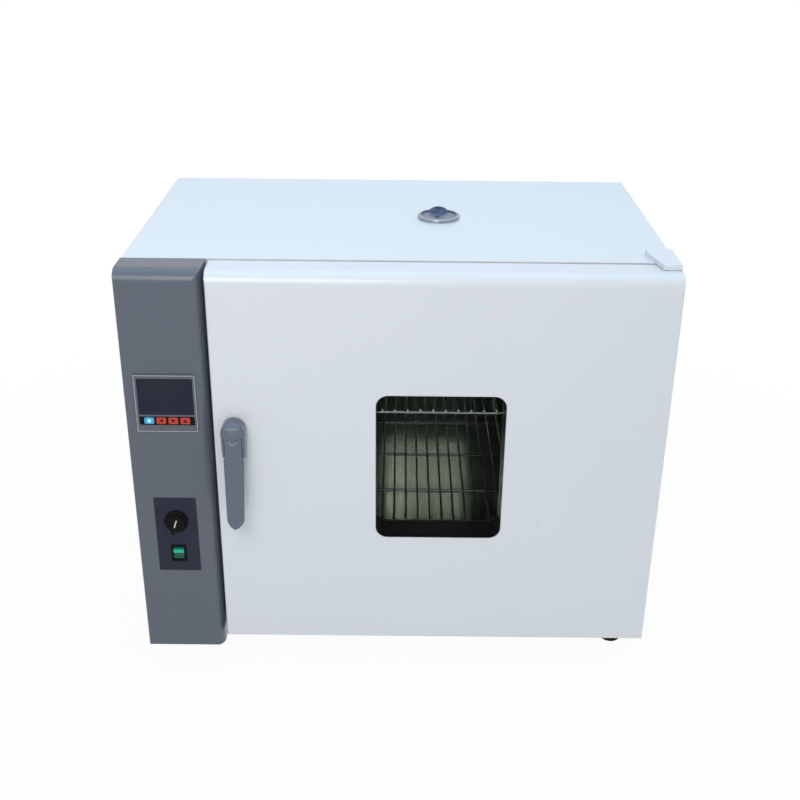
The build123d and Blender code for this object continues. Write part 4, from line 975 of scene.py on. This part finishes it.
def dial_numbers(name):
    """The four positions of the mode knob."""
    centre = knob_place()
    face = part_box("switch_plate")[0].y
    letter_height = 4.6 * MM
    inner, outer = 26.5 * MM, 29.0 * MM
    marks = (("OFF", -54.0, outer), ("I", -18.0, inner), ("II", 18.0, inner), ("III", 54.0, outer))
    meshes = []
    for text, angle, radius in marks:
        turn = math.radians(angle)
        x = centre.x + radius * math.sin(turn)
        z = centre.z + radius * math.cos(turn)
        meshes.append(lettering(name + text, text, letter_height, (x, face, z)))
    return joined(name, meshes)


class OVEN_OT_vent(bpy.types.Operator):
    """Finishes the roof vent"""

    bl_idname = "oven.vent"
    bl_label = "Roof vent"

    def execute(self, context):
        dress(plated("vent_plating", (0.34, 0.37, 0.41), 0.16), "vent_ring")
        # painted reflection: the dial's blue tint is partly a painted reflection of the sky; its mottle is
        # random tone
        dress(hammered("dial_metal", (0.15, 0.2, 0.31), 0.3), "vent_dial")
        return {"FINISHED"}


class OVEN_OT_wiring(bpy.types.Operator):
    """Finishes what is behind the control panel"""

    bl_idname = "oven.wiring"
    bl_label = "Wiring"

    def execute(self, context):
        dress(rolled_steel("relay_alloy", (0.55, 0.55, 0.56), 0.35, "Z"), "heater_relay")
        dress(moulded("cable_sheath", (0.02, 0.02, 0.022), 0.5), "wiring_loom")
        return {"FINISHED"}


class OVEN_OT_studio(bpy.types.Operator):
    """Sets the floor, the lamps and the camera"""

    bl_idname = "oven.studio"
    bl_label = "Studio"

    def execute(self, context):
        studio = settings().studio
        make_floor()
        make_world(studio)
        make_lamps(studio)
        make_camera(studio)
        context.scene.view_settings.view_transform = "Standard"
        return {"FINISHED"}


def make_floor():
    """A pale floor that keeps the oven's shadow and fades to white away from it."""
    graph = Graph("studio_floor")
    x, y, z = graph.parts(graph.place())
    distance = graph.node("ShaderNodeMath", {"operation": "SQRT"}, {0: x * x + y * y})
    far = distance.smooth(0.5, 1.3)
    speckle = graph.noise(graph.place(), 30.0)
    ground = graph.node("ShaderNodeBsdfDiffuse", None, {
        "Color": graph.mix(speckle, (0.86, 0.86, 0.86, 1.0), (0.88, 0.88, 0.88, 1.0)),
    })
    white = graph.node("ShaderNodeEmission", None, {"Color": WHITE, "Strength": 1.0})
    share = graph.looked_at() * (far * 0.05 + 0.95)
    graph.finish(graph.node("ShaderNodeMixShader", None, {0: share, 1: ground, 2: white}))
    bm = bmesh.new()
    bmesh.ops.create_grid(bm, x_segments=8, y_segments=8, size=20.0)
    mesh = bpy.data.meshes.new("floor")
    bm.to_mesh(mesh)
    bm.free()
    floor = bpy.data.objects.new("floor", mesh)
    bpy.context.scene.collection.objects.link(floor)
    set_material(floor, graph.material)


def make_world(studio):
    """Light from all round, stronger from the right and slightly blue from above, white where it is seen."""
    graph = Graph("studio_sky", "ShaderNodeOutputWorld")
    bpy.context.scene.world = graph.material
    x, y, z = graph.parts(graph.node("ShaderNodeTexCoord", output="Generated"))
    tint = graph.mix(z.smooth(0.0, 0.75), WHITE, (0.86, 0.94, 1.0, 1.0))
    strength = (x * 0.7 + 1.0) * studio.world
    sky = graph.node("ShaderNodeBackground", None, {"Color": tint, "Strength": strength})
    white = graph.node("ShaderNodeBackground", None, {"Color": WHITE, "Strength": 1.0})
    graph.finish(graph.node("ShaderNodeMixShader", None, {0: graph.looked_at(), 1: sky, 2: white}))


def make_lamps(studio):
    """A wide lamp above and a small one in front, each given by place, aim, size, power and colour."""
    lamps = (
        ("overhead_lamp", (0.0, 0.2, 2.6), (0.0, 0.0, 0.4), 2.4, studio.overhead, (0.37, 0.69, 1.0)),
        ("key_lamp", (-0.4, -1.5, 1.5), (0.0, 0.0, 0.35), 0.8, studio.key, (1.0, 0.99, 0.97)),
    )
    for name, place, aim, size, power, colour in lamps:
        data = bpy.data.lights.new(name, "AREA")
        data.shape = "SQUARE"
        data.size = size
        data.energy = power
        data.color = colour
        lamp = bpy.data.objects.new(name, data)
        bpy.context.scene.collection.objects.link(lamp)
        lamp.location = place
        lamp.rotation_euler = (Vector(aim) - Vector(place)).to_track_quat("-Z", "Y").to_euler()


def make_camera(studio):
    """The camera stands where the photograph was taken."""
    place = (0.00004, -1.55221, 1.06352)
    yaw, pitch, roll = math.radians(0.1219), math.radians(25.4324), math.radians(0.6361)
    look = Vector((math.sin(yaw) * math.cos(pitch), math.cos(yaw) * math.cos(pitch), -math.sin(pitch)))
    level = Vector((math.cos(yaw), -math.sin(yaw), 0.0))
    up = level.cross(look)
    right = math.cos(roll) * level + math.sin(roll) * up
    top = -math.sin(roll) * level + math.cos(roll) * up
    data = bpy.data.cameras.new("camera")
    data.lens = studio.lens
    data.sensor_width = 36.0
    camera = bpy.data.objects.new("camera", data)
    bpy.context.scene.collection.objects.link(camera)
    turn = Matrix((right, top, -look)).transposed()
    camera.matrix_world = Matrix.Translation(place) @ turn.to_4x4()
    bpy.context.scene.camera = camera


class OVEN_PT_finish(bpy.types.Panel):
    """Lists the oven's settings and its pieces"""

    bl_label = "Drying oven"
    bl_idname = "OVEN_PT_finish"
    bl_space_type = "VIEW_3D"
    bl_region_type = "UI"
    bl_category = "Oven"

    def draw(self, context):
        for title in ("paint", "shelf", "controls", "studio"):
            group = getattr(settings(), title)
            box = self.layout.box()
            box.label(text=title.capitalize())
            for key in group.__annotations__:
                box.prop(group, key)
        for operator in PIECES:
            self.layout.operator(operator.bl_idname)


GROUPS = (OvenPaint, OvenShelf, OvenControls, OvenStudio, OvenSettings)
PIECES = (
    OVEN_OT_studio, OVEN_OT_cabinet, OVEN_OT_door, OVEN_OT_window, OVEN_OT_handle, OVEN_OT_chamber,
    OVEN_OT_shelves, OVEN_OT_controller, OVEN_OT_switches, OVEN_OT_vent, OVEN_OT_wiring,
)


def register():
    for cls in (*GROUPS, *PIECES, OVEN_PT_finish):
        bpy.utils.register_class(cls)
    bpy.types.Scene.oven_finish = bpy.props.PointerProperty(type=OvenSettings)


def unregister():
    del bpy.types.Scene.oven_finish
    for cls in reversed((*GROUPS, *PIECES, OVEN_PT_finish)):
        bpy.utils.unregister_class(cls)


def main():
    register()
    for operator in PIECES:
        group, name = operator.bl_idname.split(".")
        getattr(getattr(bpy.ops, group), name)()


if __name__ == "__main__":
    main()
